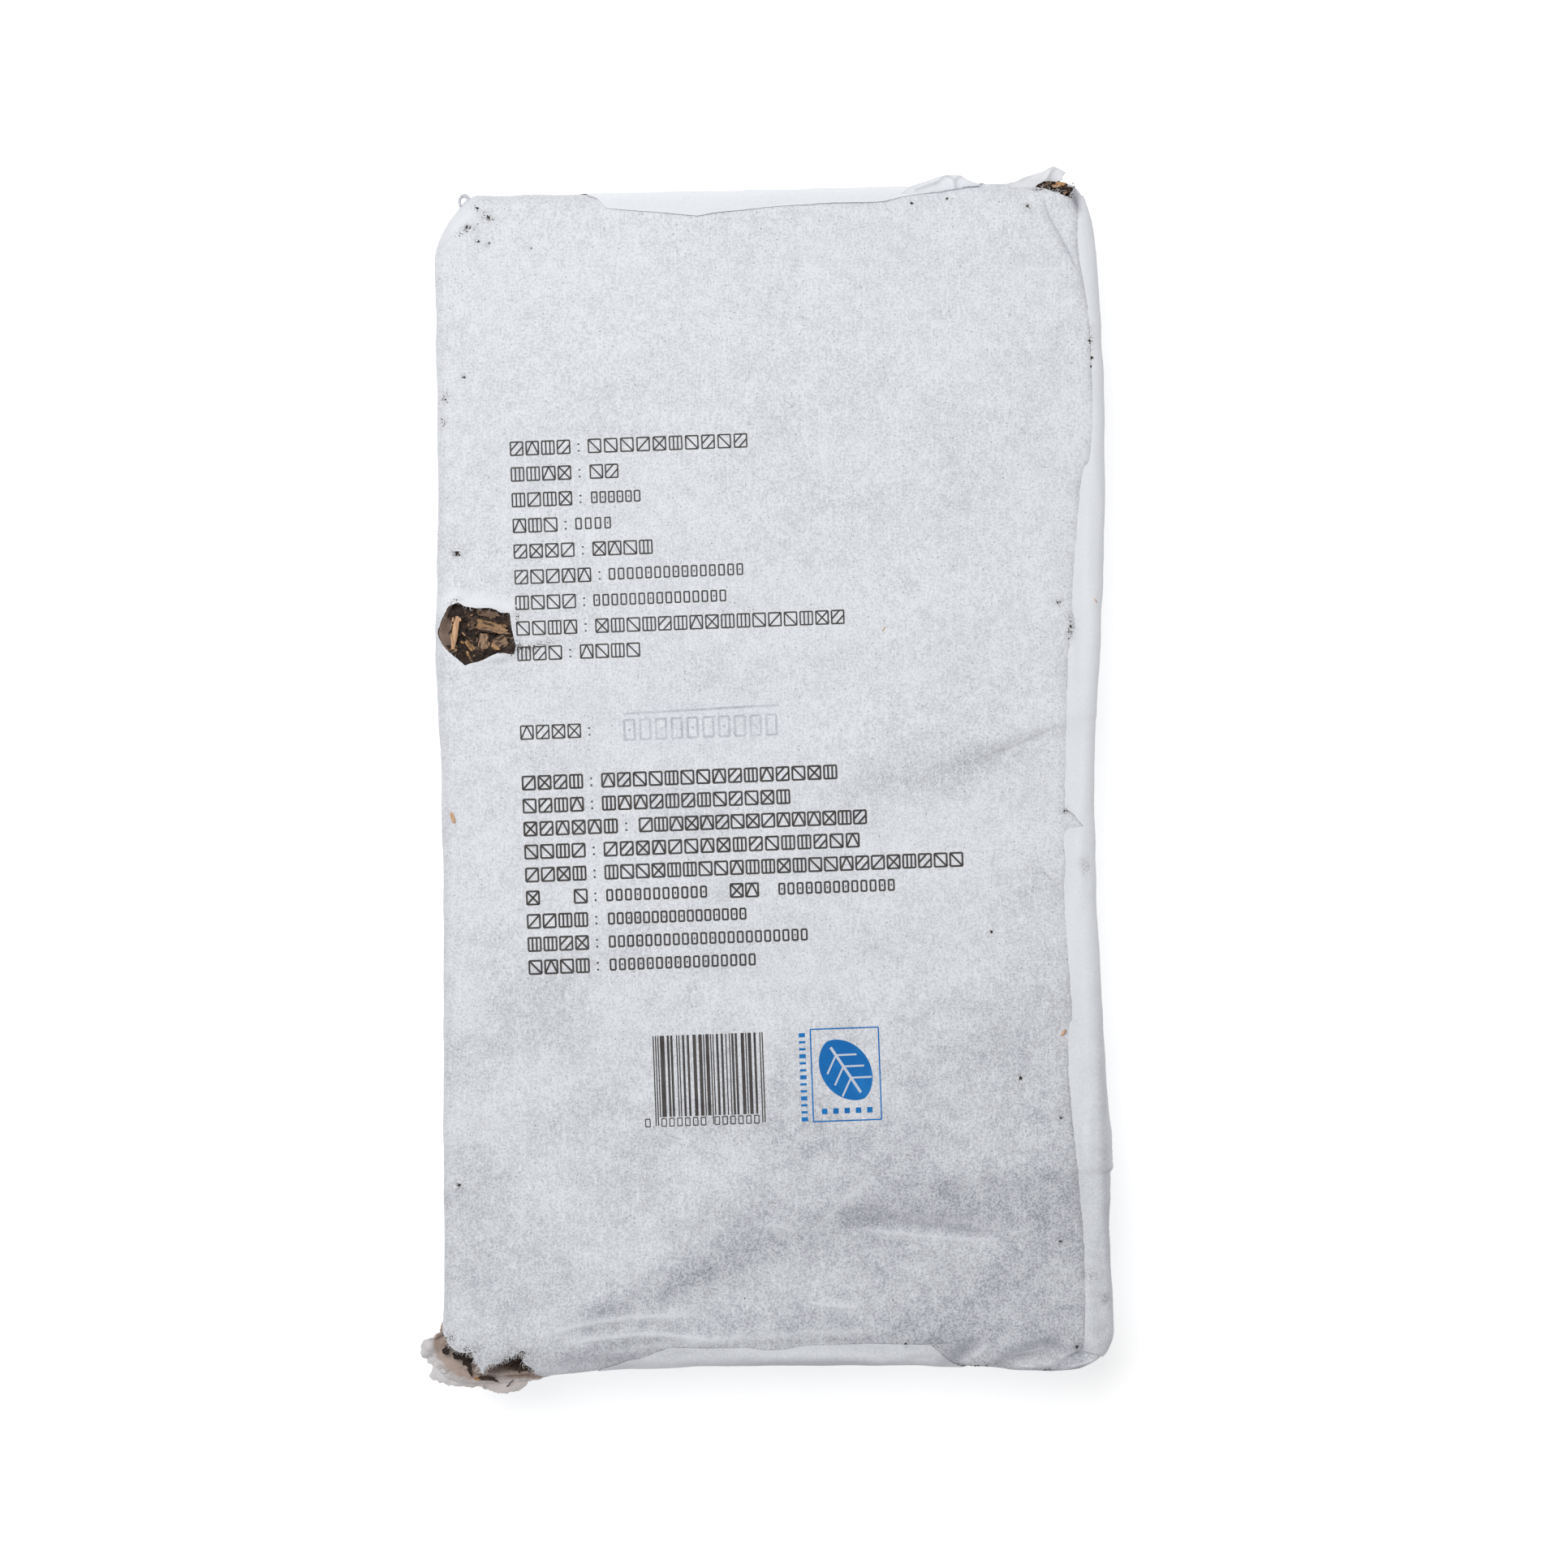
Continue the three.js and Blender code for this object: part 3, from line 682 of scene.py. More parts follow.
def flake(middle, length, width, turn, seed, tilt=0.0, roll=0.0, bend=0.0, fold=0.0, thick=0.22,
          rough=0.16):
    """A broken bit of leaf: a ragged plate, bent along its length, folded along its middle and veined."""
    angle = np.linspace(0, 2 * math.pi, max(14, int(6 * length)), endpoint=False)
    teeth = noise(angle * 1.6, angle * 0 + seed, 1, seed) + 0.7 * noise(angle * 4.5, angle * 0, 1, seed)
    squarish = (np.abs(np.cos(angle)) ** 5 + np.abs(np.sin(angle)) ** 5) ** -0.2
    oval = np.stack([np.cos(angle) * length / 2, np.sin(angle) * width / 2], 1)
    loop = oval * ((1 + rough * teeth) * squarish)[:, None]
    flat, faces = filled(loop, max(0.28, width / 7), seed)
    x, y = flat[:, 0], flat[:, 1]
    midrib = y + 0.15 * width * noise(x, x * 0, length / 2, seed)
    height = bend * (2 * x / length) ** 2 - fold * np.abs(midrib)
    veins = 0.06 * noise(x * 1.2 + np.abs(y) * 2.2, y * 0.2, 0.5, seed + 3)
    height = height + veins + 0.13 * noise(x, y, max(0.8, width / 2), seed + 5)
    solid, faces = thicken(np.column_stack([flat, height]), faces, thick)
    return (turned(solid, turn, tilt, roll) + np.array(middle, float), faces), solid[:, :2] + seed * 3.7


GRAIN_CORNERS = np.array([(1, 0, 0), (-1, 0, 0), (0, 1, 0), (0, -1, 0), (0, 0, 1), (0, 0, -1)], float)
GRAIN_FACES = np.array([(0, 2, 4), (2, 1, 4), (1, 3, 4), (3, 0, 4),
                        (2, 0, 5), (1, 2, 5), (3, 1, 5), (0, 3, 5)])


def grain(middle, size, seed, stretch=1.0):
    """A crumb: an uneven lump with eight faces."""
    drawn = np.random.default_rng(seed)
    corners = GRAIN_CORNERS * drawn.uniform(0.55, 1.15, (6, 3)) * (0.5 * size)
    corners[:, 0] *= stretch
    corners = turned(corners, drawn.uniform(0, 360), drawn.uniform(-30, 30), drawn.uniform(-30, 30))
    return corners + np.array(middle, float), GRAIN_FACES


# ---------------------------------------------------------------- materials

class Shade:
    """A material's node tree, with short ways to add nodes. Its coordinates are in millimetres."""

    def __init__(self, name):
        self.material = bpy.data.materials.new(name)
        self.material.use_nodes = True
        self.tree = self.material.node_tree
        self.finish = self.tree.nodes["Principled BSDF"]
        self.finish.inputs["Specular IOR Level"].default_value = 0.25
        coordinates = self.tree.nodes.new("ShaderNodeTexCoord")
        scale = self.tree.nodes.new("ShaderNodeVectorMath")
        scale.operation = "SCALE"
        scale.inputs["Scale"].default_value = 1 / MM
        self.tree.links.new(coordinates.outputs["Object"], scale.inputs[0])
        self.place = scale.outputs[0]

    def put(self, socket, value):
        if isinstance(value, bpy.types.NodeSocket):
            self.tree.links.new(value, socket)
        else:
            socket.default_value = value

    def math(self, operation, a, b=0.0, clamp=False):
        node = self.tree.nodes.new("ShaderNodeMath")
        node.operation = operation
        node.use_clamp = clamp
        self.put(node.inputs[0], a)
        self.put(node.inputs[1], b)
        return node.outputs[0]

    def add(self, a, b, share=1.0):
        """One value and another, or a share of it."""
        return self.math("ADD", a, b if share == 1.0 else self.times(b, share))

    def times(self, a, b):
        return self.math("MULTIPLY", a, b)

    def span(self, value, low, high, to_low=0.0, to_high=1.0):
        """Brings a value from one range to another, smoothly, and no further."""
        node = self.tree.nodes.new("ShaderNodeMapRange")
        node.interpolation_type = "SMOOTHSTEP"
        self.put(node.inputs["Value"], value)
        ends = {"From Min": low, "From Max": high, "To Min": to_low, "To Max": to_high}
        for key, number in ends.items():
            self.put(node.inputs[key], number)
        return node.outputs[0]

    def noise(self, size, detail=2.0, rough=0.5, squeeze=None, turn=0.0, warp=0.0):
        """Noise with features of one size. Squeezed, they become streaks across the squeezed axis."""
        node = self.tree.nodes.new("ShaderNodeTexNoise")
        node.inputs["Scale"].default_value = 1 / size
        node.inputs["Detail"].default_value = detail
        node.inputs["Roughness"].default_value = rough
        node.inputs["Distortion"].default_value = warp
        source = self.place
        if squeeze is not None:
            mapping = self.tree.nodes.new("ShaderNodeMapping")
            mapping.inputs["Scale"].default_value = squeeze
            mapping.inputs["Rotation"].default_value[2] = math.radians(turn)
            self.tree.links.new(source, mapping.inputs["Vector"])
            source = mapping.outputs[0]
        self.tree.links.new(source, node.inputs["Vector"])
        return node.outputs["Fac"]

    def vein_noise(self, size, detail, rough):
        """Streaks along each leaf, from its own places along and across it."""
        vector = self.tree.nodes.new("ShaderNodeCombineXYZ")
        self.put(vector.inputs[0], self.times(self.value("along"), 0.22))
        self.put(vector.inputs[1], self.value("across"))
        self.put(vector.inputs[2], self.times(self.value("tone"), 9.0))
        node = self.tree.nodes.new("ShaderNodeTexNoise")
        node.inputs["Scale"].default_value = 1 / size
        node.inputs["Detail"].default_value = detail
        node.inputs["Roughness"].default_value = rough
        self.tree.links.new(vector.outputs[0], node.inputs["Vector"])
        return node.outputs["Fac"]

    def dots(self, size, low, high):
        """Small spots, 1 in the middle of each and 0 outside, and another number for each spot."""
        node = self.tree.nodes.new("ShaderNodeTexVoronoi")
        node.inputs["Scale"].default_value = 1 / size
        self.tree.links.new(self.place, node.inputs["Vector"])
        apart = self.tree.nodes.new("ShaderNodeSeparateColor")
        self.tree.links.new(node.outputs["Color"], apart.inputs[0])
        return self.span(node.outputs["Distance"], low, high, 1.0, 0.0), apart.outputs[0]

    def value(self, name):
        node = self.tree.nodes.new("ShaderNodeAttribute")
        node.attribute_name = name
        return node.outputs["Fac"]

    def mix(self, part, a, b):
        node = self.tree.nodes.new("ShaderNodeMix")
        node.data_type = "RGBA"
        self.put(node.inputs["Factor"], part)
        for socket, colour in ((node.inputs[6], a), (node.inputs[7], b)):
            self.put(socket, (*colour, 1.0) if isinstance(colour, tuple) else colour)
        return node.outputs[2]

    def bump(self, height, strength, distance):
        node = self.tree.nodes.new("ShaderNodeBump")
        node.inputs["Strength"].default_value = strength
        node.inputs["Distance"].default_value = distance * MM
        self.tree.links.new(height, node.inputs["Height"])
        self.tree.links.new(node.outputs[0], self.finish.inputs["Normal"])

    def finish_with(self, colour, roughness):
        self.put(self.finish.inputs["Base Color"], colour)
        self.put(self.finish.inputs["Roughness"], roughness)
        return self.material


# Colours of whole paper, of paper that lets the tea through, of grime and painted shade, of specks, and of
# stained paper
PAPER_LIGHT = (0.846, 0.865, 0.897)
PAPER_THIN = (0.300, 0.308, 0.352)
PAPER_SHADE_AND_GRIME = (0.300, 0.303, 0.345)
PAPER_SPECK = (0.100, 0.098, 0.115)
PAPER_INSIDE = (0.460, 0.355, 0.300)
PAPER_STAINED = (0.330, 0.225, 0.165)
DUST = (0.050, 0.038, 0.030)


def tea_through_paper(shade, single, fine, patches, threads):
    """How much of the tea shows, darkened further by painted shade: uneven patches and fine flecks, less
    where pale threads run.
    """
    show_and_shade = shade.value("show_and_shade")
    clouds = shade.noise(12.0, 3.0, 0.6, warp=0.4)
    grit = shade.noise(0.36, 1.0, 0.6)
    uneven = shade.add(shade.times(shade.span(clouds, 0.30, 0.70, -0.5, 0.5), 0.08),
                       shade.span(patches, 0.30, 0.70, -0.5, 0.5), 0.13)
    uneven = shade.times(uneven, shade.add(0.68, show_and_shade, 0.35))
    through = shade.add(shade.add(0.05, show_and_shade, 0.29), uneven)
    mottled = shade.add(shade.times(fine, 0.5), grit, 0.5)
    flecks = shade.span(shade.add(mottled, uneven, 0.25), 0.43, 0.60)
    through = shade.add(through, shade.times(flecks, shade.add(0.28, show_and_shade, 0.12)))
    bright = shade.span(threads, 0.54, 0.74, 0.0, 0.19)
    through = shade.math("SUBTRACT", through, bright, clamp=True)
    return shade.times(through, shade.add(0.10, single, 0.90))


def marked_paper(shade, colour, single, patches):
    """Paper with its specks, its grime and painted shade, its stained inner side, its brown places and
    rubbed dust.
    """
    spots, chance = shade.dots(0.85, 0.07, 0.24)
    rare = shade.span(shade.add(chance, patches, 0.5), 0.95, 1.08)
    speck = shade.times(shade.times(spots, rare), shade.add(0.08, single, 0.55))
    colour = shade.mix(speck, colour, PAPER_SPECK)
    # grime and painted shade of creases, folds and edges darken the paper towards one grey
    colour = shade.mix(shade.value("grime_and_shade"), colour, PAPER_SHADE_AND_GRIME)
    stained = shade.span(shade.noise(3.0, 3.0, 0.6), 0.35, 0.75, 0.0, 0.30)
    inner = shade.mix(stained, PAPER_INSIDE, PAPER_STAINED)
    colour = shade.mix(shade.value("inside"), colour, inner)
    grubby = shade.span(shade.noise(1.6, 3.0, 0.6), 0.30, 0.60, 0.4, 1.0)
    colour = shade.mix(shade.times(shade.value("brown"), grubby), colour, PAPER_STAINED)
    dusty = shade.times(shade.value("stain"), shade.span(shade.noise(0.48, 3.0, 0.7), 0.44, 0.62))
    return shade.mix(shade.math("MINIMUM", dusty, 0.93), colour, DUST)


def paper_material():
    """Thin fibrous paper. Where it lies single on the tea, dark leaf shows through it."""
    shade = Shade("fibrous_paper")
    single = shade.math("SUBTRACT", 1.0, shade.value("layers_and_highlight"), clamp=True)
    patches = shade.noise(3.2, 3.0, 0.62)
    fine = shade.noise(0.62, 2.0, 0.75)
    threads = shade.math("MAXIMUM", shade.noise(0.60, 2.0, 0.6, (1.0, 0.22, 1.0), 35),
                         shade.noise(0.55, 2.0, 0.6, (1.0, 0.20, 1.0), -52))
    through = tea_through_paper(shade, single, fine, patches, threads)
    colour = marked_paper(shade, shade.mix(through, PAPER_LIGHT, PAPER_THIN), single, patches)
    height = shade.add(shade.times(fine, 0.5), threads, 0.8)
    shade.bump(shade.add(height, patches, 0.8), 0.45, 0.10)
    return shade.finish_with(colour, shade.span(fine, 0.3, 0.7, 0.82, 0.95))


TEA_DARK, TEA_BROWN = (0.036, 0.025, 0.021), (0.120, 0.078, 0.056)
LEAF_GREY, LEAF_GOLD, LEAF_TAN = (0.370, 0.245, 0.165), (0.520, 0.290, 0.130), (0.720, 0.460, 0.280)
# From tone to tone: the veins' share, where the lighter colour begins, where it is full, and the colour
LEAF_STEPS = [(0.5, 0.52, 0.78, LEAF_GREY), (0.4, 0.80, 0.98, LEAF_GOLD), (0.3, 1.00, 1.18, LEAF_TAN)]
STEM_DARK, STEM_TAN, STEM_JOINT = (0.340, 0.190, 0.105), (0.720, 0.450, 0.270), (0.160, 0.095, 0.060)
FIBRE_WHITE, FIBRE_GREY = (0.86, 0.86, 0.87), (0.66, 0.65, 0.66)


def tea_material():
    """Dry tea: near-black to tan by each piece's tone, veined along each leaf, with darker patches."""
    shade = Shade("dry_tea")
    tone = shade.value("tone")
    patches = shade.noise(1.5, 4.0, 0.65)
    veins = shade.vein_noise(0.55, 3.0, 0.65)
    fine_veins = shade.vein_noise(0.22, 2.0, 0.6)
    streaky = shade.add(shade.times(veins, 0.7), fine_veins, 0.3)
    colour = shade.mix(shade.span(shade.add(tone, patches, 0.8), 0.36, 0.72), TEA_DARK, TEA_BROWN)
    for share, low, high, lighter in LEAF_STEPS:
        colour = shade.mix(shade.span(shade.add(tone, streaky, share), low, high), colour, lighter)
    cracks = shade.span(shade.add(veins, patches, 0.35), 0.66, 0.79, 0.0, 0.90)
    colour = shade.mix(cracks, colour, TEA_DARK)
    worn = shade.times(shade.span(fine_veins, 0.58, 0.74, 0.0, 0.45), shade.span(tone, 0.1, 0.4))
    colour = shade.mix(worn, colour, LEAF_GREY)
    shade.bump(shade.add(shade.add(patches, veins), fine_veins), 0.8, 0.30)
    return shade.finish_with(colour, shade.span(patches, 0.3, 0.7, 0.62, 0.92))


def stem_material():
    """Tea stem: tan, with long grooves and darker joints."""
    shade = Shade("tea_stem")
    grooves = shade.noise(0.5, 3.0, 0.6, (1.0, 0.12, 1.0), 8)
    patches = shade.noise(1.8, 3.0, 0.6)
    colour = shade.mix(shade.span(grooves, 0.32, 0.60), STEM_DARK, STEM_TAN)
    colour = shade.mix(shade.span(patches, 0.60, 0.78, 0.0, 0.6), colour, STEM_JOINT)
    shade.bump(grooves, 0.7, 0.15)
    return shade.finish_with(colour, shade.span(patches, 0.3, 0.7, 0.60, 0.85))


def ink_material(name, full, thin, worn):
    """Printed ink: nearly solid, with paler specks where the fibres took less."""
    shade = Shade(name)
    specks = shade.noise(0.32, 3.0, 0.7)
    patches = shade.noise(5.0, 3.0, 0.6)
    missing = shade.span(shade.add(specks, patches, 0.25), 0.80 - worn, 0.95 - worn)
    colour = shade.mix(shade.span(patches, 0.35, 0.65), full, thin)
    colour = shade.mix(shade.times(missing, 0.8), colour, PAPER_LIGHT)
    shade.bump(specks, 0.3, 0.04)
    return shade.finish_with(colour, shade.span(specks, 0.3, 0.7, 0.6, 0.8))


def torn_fibre_material():
    """Loose fibres of torn paper, a little uneven in whiteness."""
    shade = Shade("torn_fibres")
    patches = shade.noise(1.2, 2.0, 0.5)
    return shade.finish_with(shade.mix(shade.span(patches, 0.3, 0.7), FIBRE_WHITE, FIBRE_GREY), 0.9)


# ---------------------------------------------------------------- what the paper's material reads

# Dust and crumbs rubbed into the paper: middle, reach along, reach across, turn in degrees, strength
DUST_MARKS = [
    ((-65.6, 127.7), 0.9, 0.5, -50, 0.75), ((-63.2, 125.7), 1.3, 0.5, -25, 0.85),
    ((-67.8, 123.4), 1.1, 0.6, 10, 0.85), ((-65.5, 120.4), 0.7, 0.4, 0, 0.6),
    ((-63.1, 119.9), 0.6, 0.5, 40, 0.6), ((-68.3, 122.4), 3.2, 0.5, 22, 0.35),
    ((-70.2, 51.2), 0.9, 0.7, 0, 0.9), ((-68.5, 90.3), 0.5, 0.35, 0, 0.7),
    ((-72.8, 85.8), 0.7, 1.2, 0, 0.55), ((-73.2, 80.4), 0.5, 1.1, 0, 0.5),
    ((-69.5, -88.9), 0.7, 0.7, 0, 0.8), ((48.5, -32.7), 0.5, 0.5, 0, 0.8),
    ((-53.0, 30.6), 4.2, 0.65, 16, 0.75), ((-57.0, 30.2), 1.6, 1.3, 0, 0.9),
    ((-56.6, 37.0), 0.8, 1.6, 0, 0.35), ((63.1, 40.4), 1.0, 0.7, 0, 0.6),
    ((66.0, 34.4), 2.2, 0.7, 88, 0.75), ((64.7, -6.0), 1.1, 0.7, 0, 0.55),
    ((69.4, -18.3), 0.8, 1.5, 0, 0.45), ((54.8, -65.1), 0.45, 0.45, 0, 0.9),
    ((63.8, -73.9), 0.4, 0.4, 0, 0.9), ((30.7, 128.8), 0.5, 0.4, 0, 0.9),
    ((38.6, 129.9), 0.5, 0.4, 0, 0.8), ((56.4, 128.2), 0.5, 0.5, 0, 0.9),
    ((66.3, 130.6), 0.5, 1.0, -28, 0.45), ((64.6, 130.9), 2.0, 0.4, -25, 0.55),
    ((70.5, 98.6), 0.4, 2.6, 0, 0.6), ((59.0, 131.9), 1.4, 0.5, 0, 0.5),
    ((67.3, -124.8), 0.5, 0.5, 0, 1.0), ((60.8, -130.6), 1.3, 0.5, 0, 0.8),
    ((70.4, -109), 1.6, 1.4, 0, 0.4), ((73.5, -114.1), 0.6, 0.9, 0, 0.45),
    ((44.5, -130.4), 2.4, 0.5, 0, 0.8), ((-57.2, -127.0), 3.0, 1.2, 22, 0.55),
    ((-67.6, -125.3), 1.8, 0.8, 0, 0.5), ((-71.4, -122.4), 0.7, 1.2, 0, 0.5),
    ((-70.8, 40.5), 1.5, 0.5, 20, 0.55), ((63.8, -101.3), 0.5, 0.5, 0, 0.7),
    ((29.5, -124.0), 0.5, 0.4, 0, 0.9), ((-53.7, 118.8), 0.7, 0.4, 0, 0.2),
]


# Soft grey marks, mostly painted shade of folds, facets, valleys and the darker right edge, a few of grime:
# the same numbers
SHADE_AND_GRIME_MARKS = [
    ((67.3, 129.7), 2.4, 0.75, -76, 0.75), ((-61.0, 27.4), 3.6, 0.5, 9, 0.30),
    ((54.4, -125.9), 6.5, 1.0, 21, 0.75), ((60.0, -125.6), 8.0, 1.1, 6, 0.35),
    ((66.5, -128.0), 2.6, 0.8, 40, 0.35), ((38.0, -96.5), 15.0, 1.3, -6, 0.20),
    ((72.5, -112.0), 1.3, 8.0, 0, 0.22), ((72.8, -124.0), 1.2, 3.0, 0, 0.22),
    ((69.0, -17.3), 1.2, 1.2, 0, 0.20), ((-44.0, -128.2), 13.0, 1.5, 3, 0.38),
    ((8.0, -128.6), 26.0, 1.0, 0, 0.45), ((73.6, -84.0), 30.0, 0.8, -88, 0.42),
    ((-22.0, -126.6), 5.0, 0.4, 10, 0.22), ((-30.0, -128.8), 9.0, 0.7, 5, 0.26),
    ((40.8, -126.2), 4.8, 1.5, 28, 0.62), ((54.0, 10.0), 10.0, 1.0, 22, 0.10),
    ((30.0, -127.4), 9.0, 0.45, 8, 0.30), ((67.5, -130.0), 6.0, 0.8, 12, 0.55),
    ((72.9, -121.3), 1.6, 2.0, 0, 0.34), ((66.4, -127.2), 2.6, 0.5, 38, 0.50),
    ((74.0, -114.0), 0.7, 0.8, 0, 0.55),
]


# Broad darker places: more tea shows where the paper lies close, and painted shade of swells and edges: the
# same numbers
THIN_AND_SHADE_MARKS = [
    ((-40.0, -119.0), 11.0, 3.0, 26, 0.60), ((-18.0, -108.5), 12.0, 3.2, 27, 0.64),
    ((6.0, -99.5), 11.0, 3.2, 20, 0.50), ((32.0, -92.0), 13.0, 3.6, 10, 0.50),
    ((56.0, -89.5), 10.0, 4.0, 2, 0.60), ((-46.0, -126.0), 16.0, 2.4, 5, 0.75),
    ((52.0, -125.0), 15.0, 3.2, 3, 0.55), ((60.0, -112.0), 9.0, 8.0, 0, 0.30),
    ((-26.0, -60.0), 18.0, 4.0, 3, 0.22), ((44.0, 4.5), 10.0, 2.6, 14, 0.40),
    ((18.0, 62.0), 13.0, 2.4, 4, 0.14), ((52.0, -70.0), 12.0, 8.0, 0, 0.15),
    ((50.0, 118.0), 8.0, 5.0, 30, 0.08), ((-66.0, -100.0), 2.6, 20.0, 0, 0.15),
    ((73.0, -90.0), 1.6, 34.0, 0, 1.10), ((2.0, 111.0), 18.0, 1.2, 52, 0.18),
    ((26.0, -97.5), 14.0, 1.2, -5, 0.35), ((5.0, -120.5), 26.0, 2.6, 0, 0.36),
]


def marks_at(places, marks):
    total = np.zeros(len(places))
    for (mx, my), along, across, turn, strength in marks:
        c, s = cos_sin(turn)
        dx, dy = places[:, 0] - mx, places[:, 1] - my
        u, v = dx * c + dy * s, dy * c - dx * s
        total = np.maximum(total, strength * np.exp(-0.5 * ((u / along) ** 2 + (v / across) ** 2) ** 1.2))
    return total


def whiter(flat):
    """Where the paper is lifted off the tea, it looks whiter and more even."""
    edge, _ = to_line(flat, EDGE_TEAR, closed=True)
    x, y = flat[:, 0], flat[:, 1]
    lifted = smoothstep(4.6, 1.0, edge) * smoothstep(36, 39, y)
    below = 0.6 * smoothstep(2.2, 0.4, edge) * smoothstep(31, 28, y)
    corner_gap = np.hypot((x + 73) / 8, (y - 127) / 8.5)
    whole = lifted + below + 0.8 * smoothstep(1.15, 0.75, corner_gap)
    return np.clip(whole, 0, 1)


def seam_dust_and_shade(places):
    """Dust and painted shade beside the long seam's torn edge, mostly in its upper half."""
    grime_and_shade = np.zeros(len(places))
    near = np.flatnonzero(places[:, 0] > 60)
    if len(near):
        x, y = places[near, 0], places[near, 1]
        gap, _ = to_line(places[near, :2], SEAM_COARSE)
        strength = 0.08 + 0.16 * smoothstep(20, 90, y) + 0.16 * noise(y, y * 0, 9, 34)
        grime_and_shade[near] = np.clip(strength, 0, 1) * np.exp(-gap / 0.8)
    return grime_and_shade


VALLEY_SHADE, RIDGE_HIGHLIGHT = 0.42, 0.85  # painted shade darkens a valley this much, and a painted highlight whitens a ridge this much


def paper_values(places, layers_and_highlight, inner=0.0, brown=0.0, grime_and_shade=None):
    """What the paper's material reads: layers, how dark the tea shows, dust, grime, the inner side, and
    painted shade and highlights.
    """
    x, y, z = places.T
    upper = smoothstep(TOP - 9, TOP - 2, z)  # marks belong to the upper face and fade out down the walls
    # darker towards the lower right: partly more tea showing, partly painted shade where the light falls off
    share = smoothstep(30, -128, y) ** 1.6 * (0.38 + 0.66 * smoothstep(-72, 66, x))
    share = share + 0.06 * smoothstep(-40, 70, x)
    # broad slanting clouds, stronger towards the foot: partly painted shade of wrinkles
    slanting = noise(0.85 * x + 0.5 * y, 1.5 * y - 0.6 * x, 17, 35)
    slanting = slanting + 0.5 * noise(x + 0.6 * y, 1.6 * y - 0.7 * x, 8, 36)
    clouds = 0.08 * noise(x, y, 38, 31) + (0.06 + 0.26 * smoothstep(90, -70, y)) * slanting
    show_and_shade = 0.02 + share + clouds + (0.2 + 0.8 * upper) * marks_at(places, THIN_AND_SHADE_MARKS)
    if grime_and_shade is None:
        grime_and_shade = marks_at(places, SHADE_AND_GRIME_MARKS)
    walls = (1 - upper) * (0.10 + 0.09 * noise(x + 0.6 * z, y + 0.8 * z, 13, 32))
    # painted shade in the crease valleys
    valleys = VALLEY_SHADE * crease_marks(places[:, :2], -1)
    grime_and_shade = np.maximum(np.maximum(grime_and_shade, valleys) * upper, walls)
    return {
        # painted highlight on the crease ridges, added to the layers
        "layers_and_highlight": np.maximum(layers_and_highlight, RIDGE_HIGHLIGHT * crease_marks(places[:, :2], 1) * upper),
        "show_and_shade": np.clip(show_and_shade, 0, 1.3),
        "stain": marks_at(places, DUST_MARKS) * upper,
        "grime_and_shade": np.clip(grime_and_shade, 0, 0.9),
        "inside": inner,
        "brown": brown,
    }


def two_sided(upper, lower):
    """A value for both sides of a thickened sheet."""
    count = max(np.size(upper), np.size(lower))
    return np.r_[np.broadcast_to(upper, count), np.broadcast_to(lower, count)]


# ---------------------------------------------------------------- the wrapper

SHEET_GRID, FINE_GRID, WALL_GRID, LAP_GRID, FLOOR_GRID = 1.3, 0.6, 1.6, 0.9, 3.2
TORN_STEP, LAP_STEP = 0.3, 0.45  # between the points of a tear, and of a lap's torn edge
FINE_REACH = 3.6  # how far from a tear the fine grid goes
FLAT_WITHIN = EDGE + 1.9  # from the outline inwards, where the rings of points end and the grid begins
WALL_ROWS = 18
EDGE_SHADE = 0.20  # painted shade on the single paper where it bends over the edges
SHEET_SEED = 11
WALL_RING = walk(OUTLINE, WALL_GRID, closed=True)
WALL_FOOT, WALL_OUT, _ = rim_of(WALL_RING)


def ring(past):
    return WALL_FOOT + WALL_OUT * past


def nearest_step(place):
    return int(np.argmin(np.linalg.norm(ring(WALL_TOP) - np.array(place), axis=1)))


def crease_points():
    """Mesh points on every crease and on both of its sides."""
    points = []
    for places, _, width in CREASES:
        ridge = crease_line(places, 0.7)
        for offset in (-0.6 * width, 0, 0.6 * width):
            points.append(ridge + leftwards(ridge) * offset)
    return np.vstack(points)


def burst_steps():
    """The wall's steps where the burst begins, on the left side, and where it ends, on the foot side."""
    return nearest_step(BURST_FROM), nearest_step(BURST_TO)


def clear_of(points, lines, distance):
    """The points that are farther than a distance from every line."""
    for line, closed in lines:
        points = points[to_line(points, line, closed)[0] > distance]
    return points


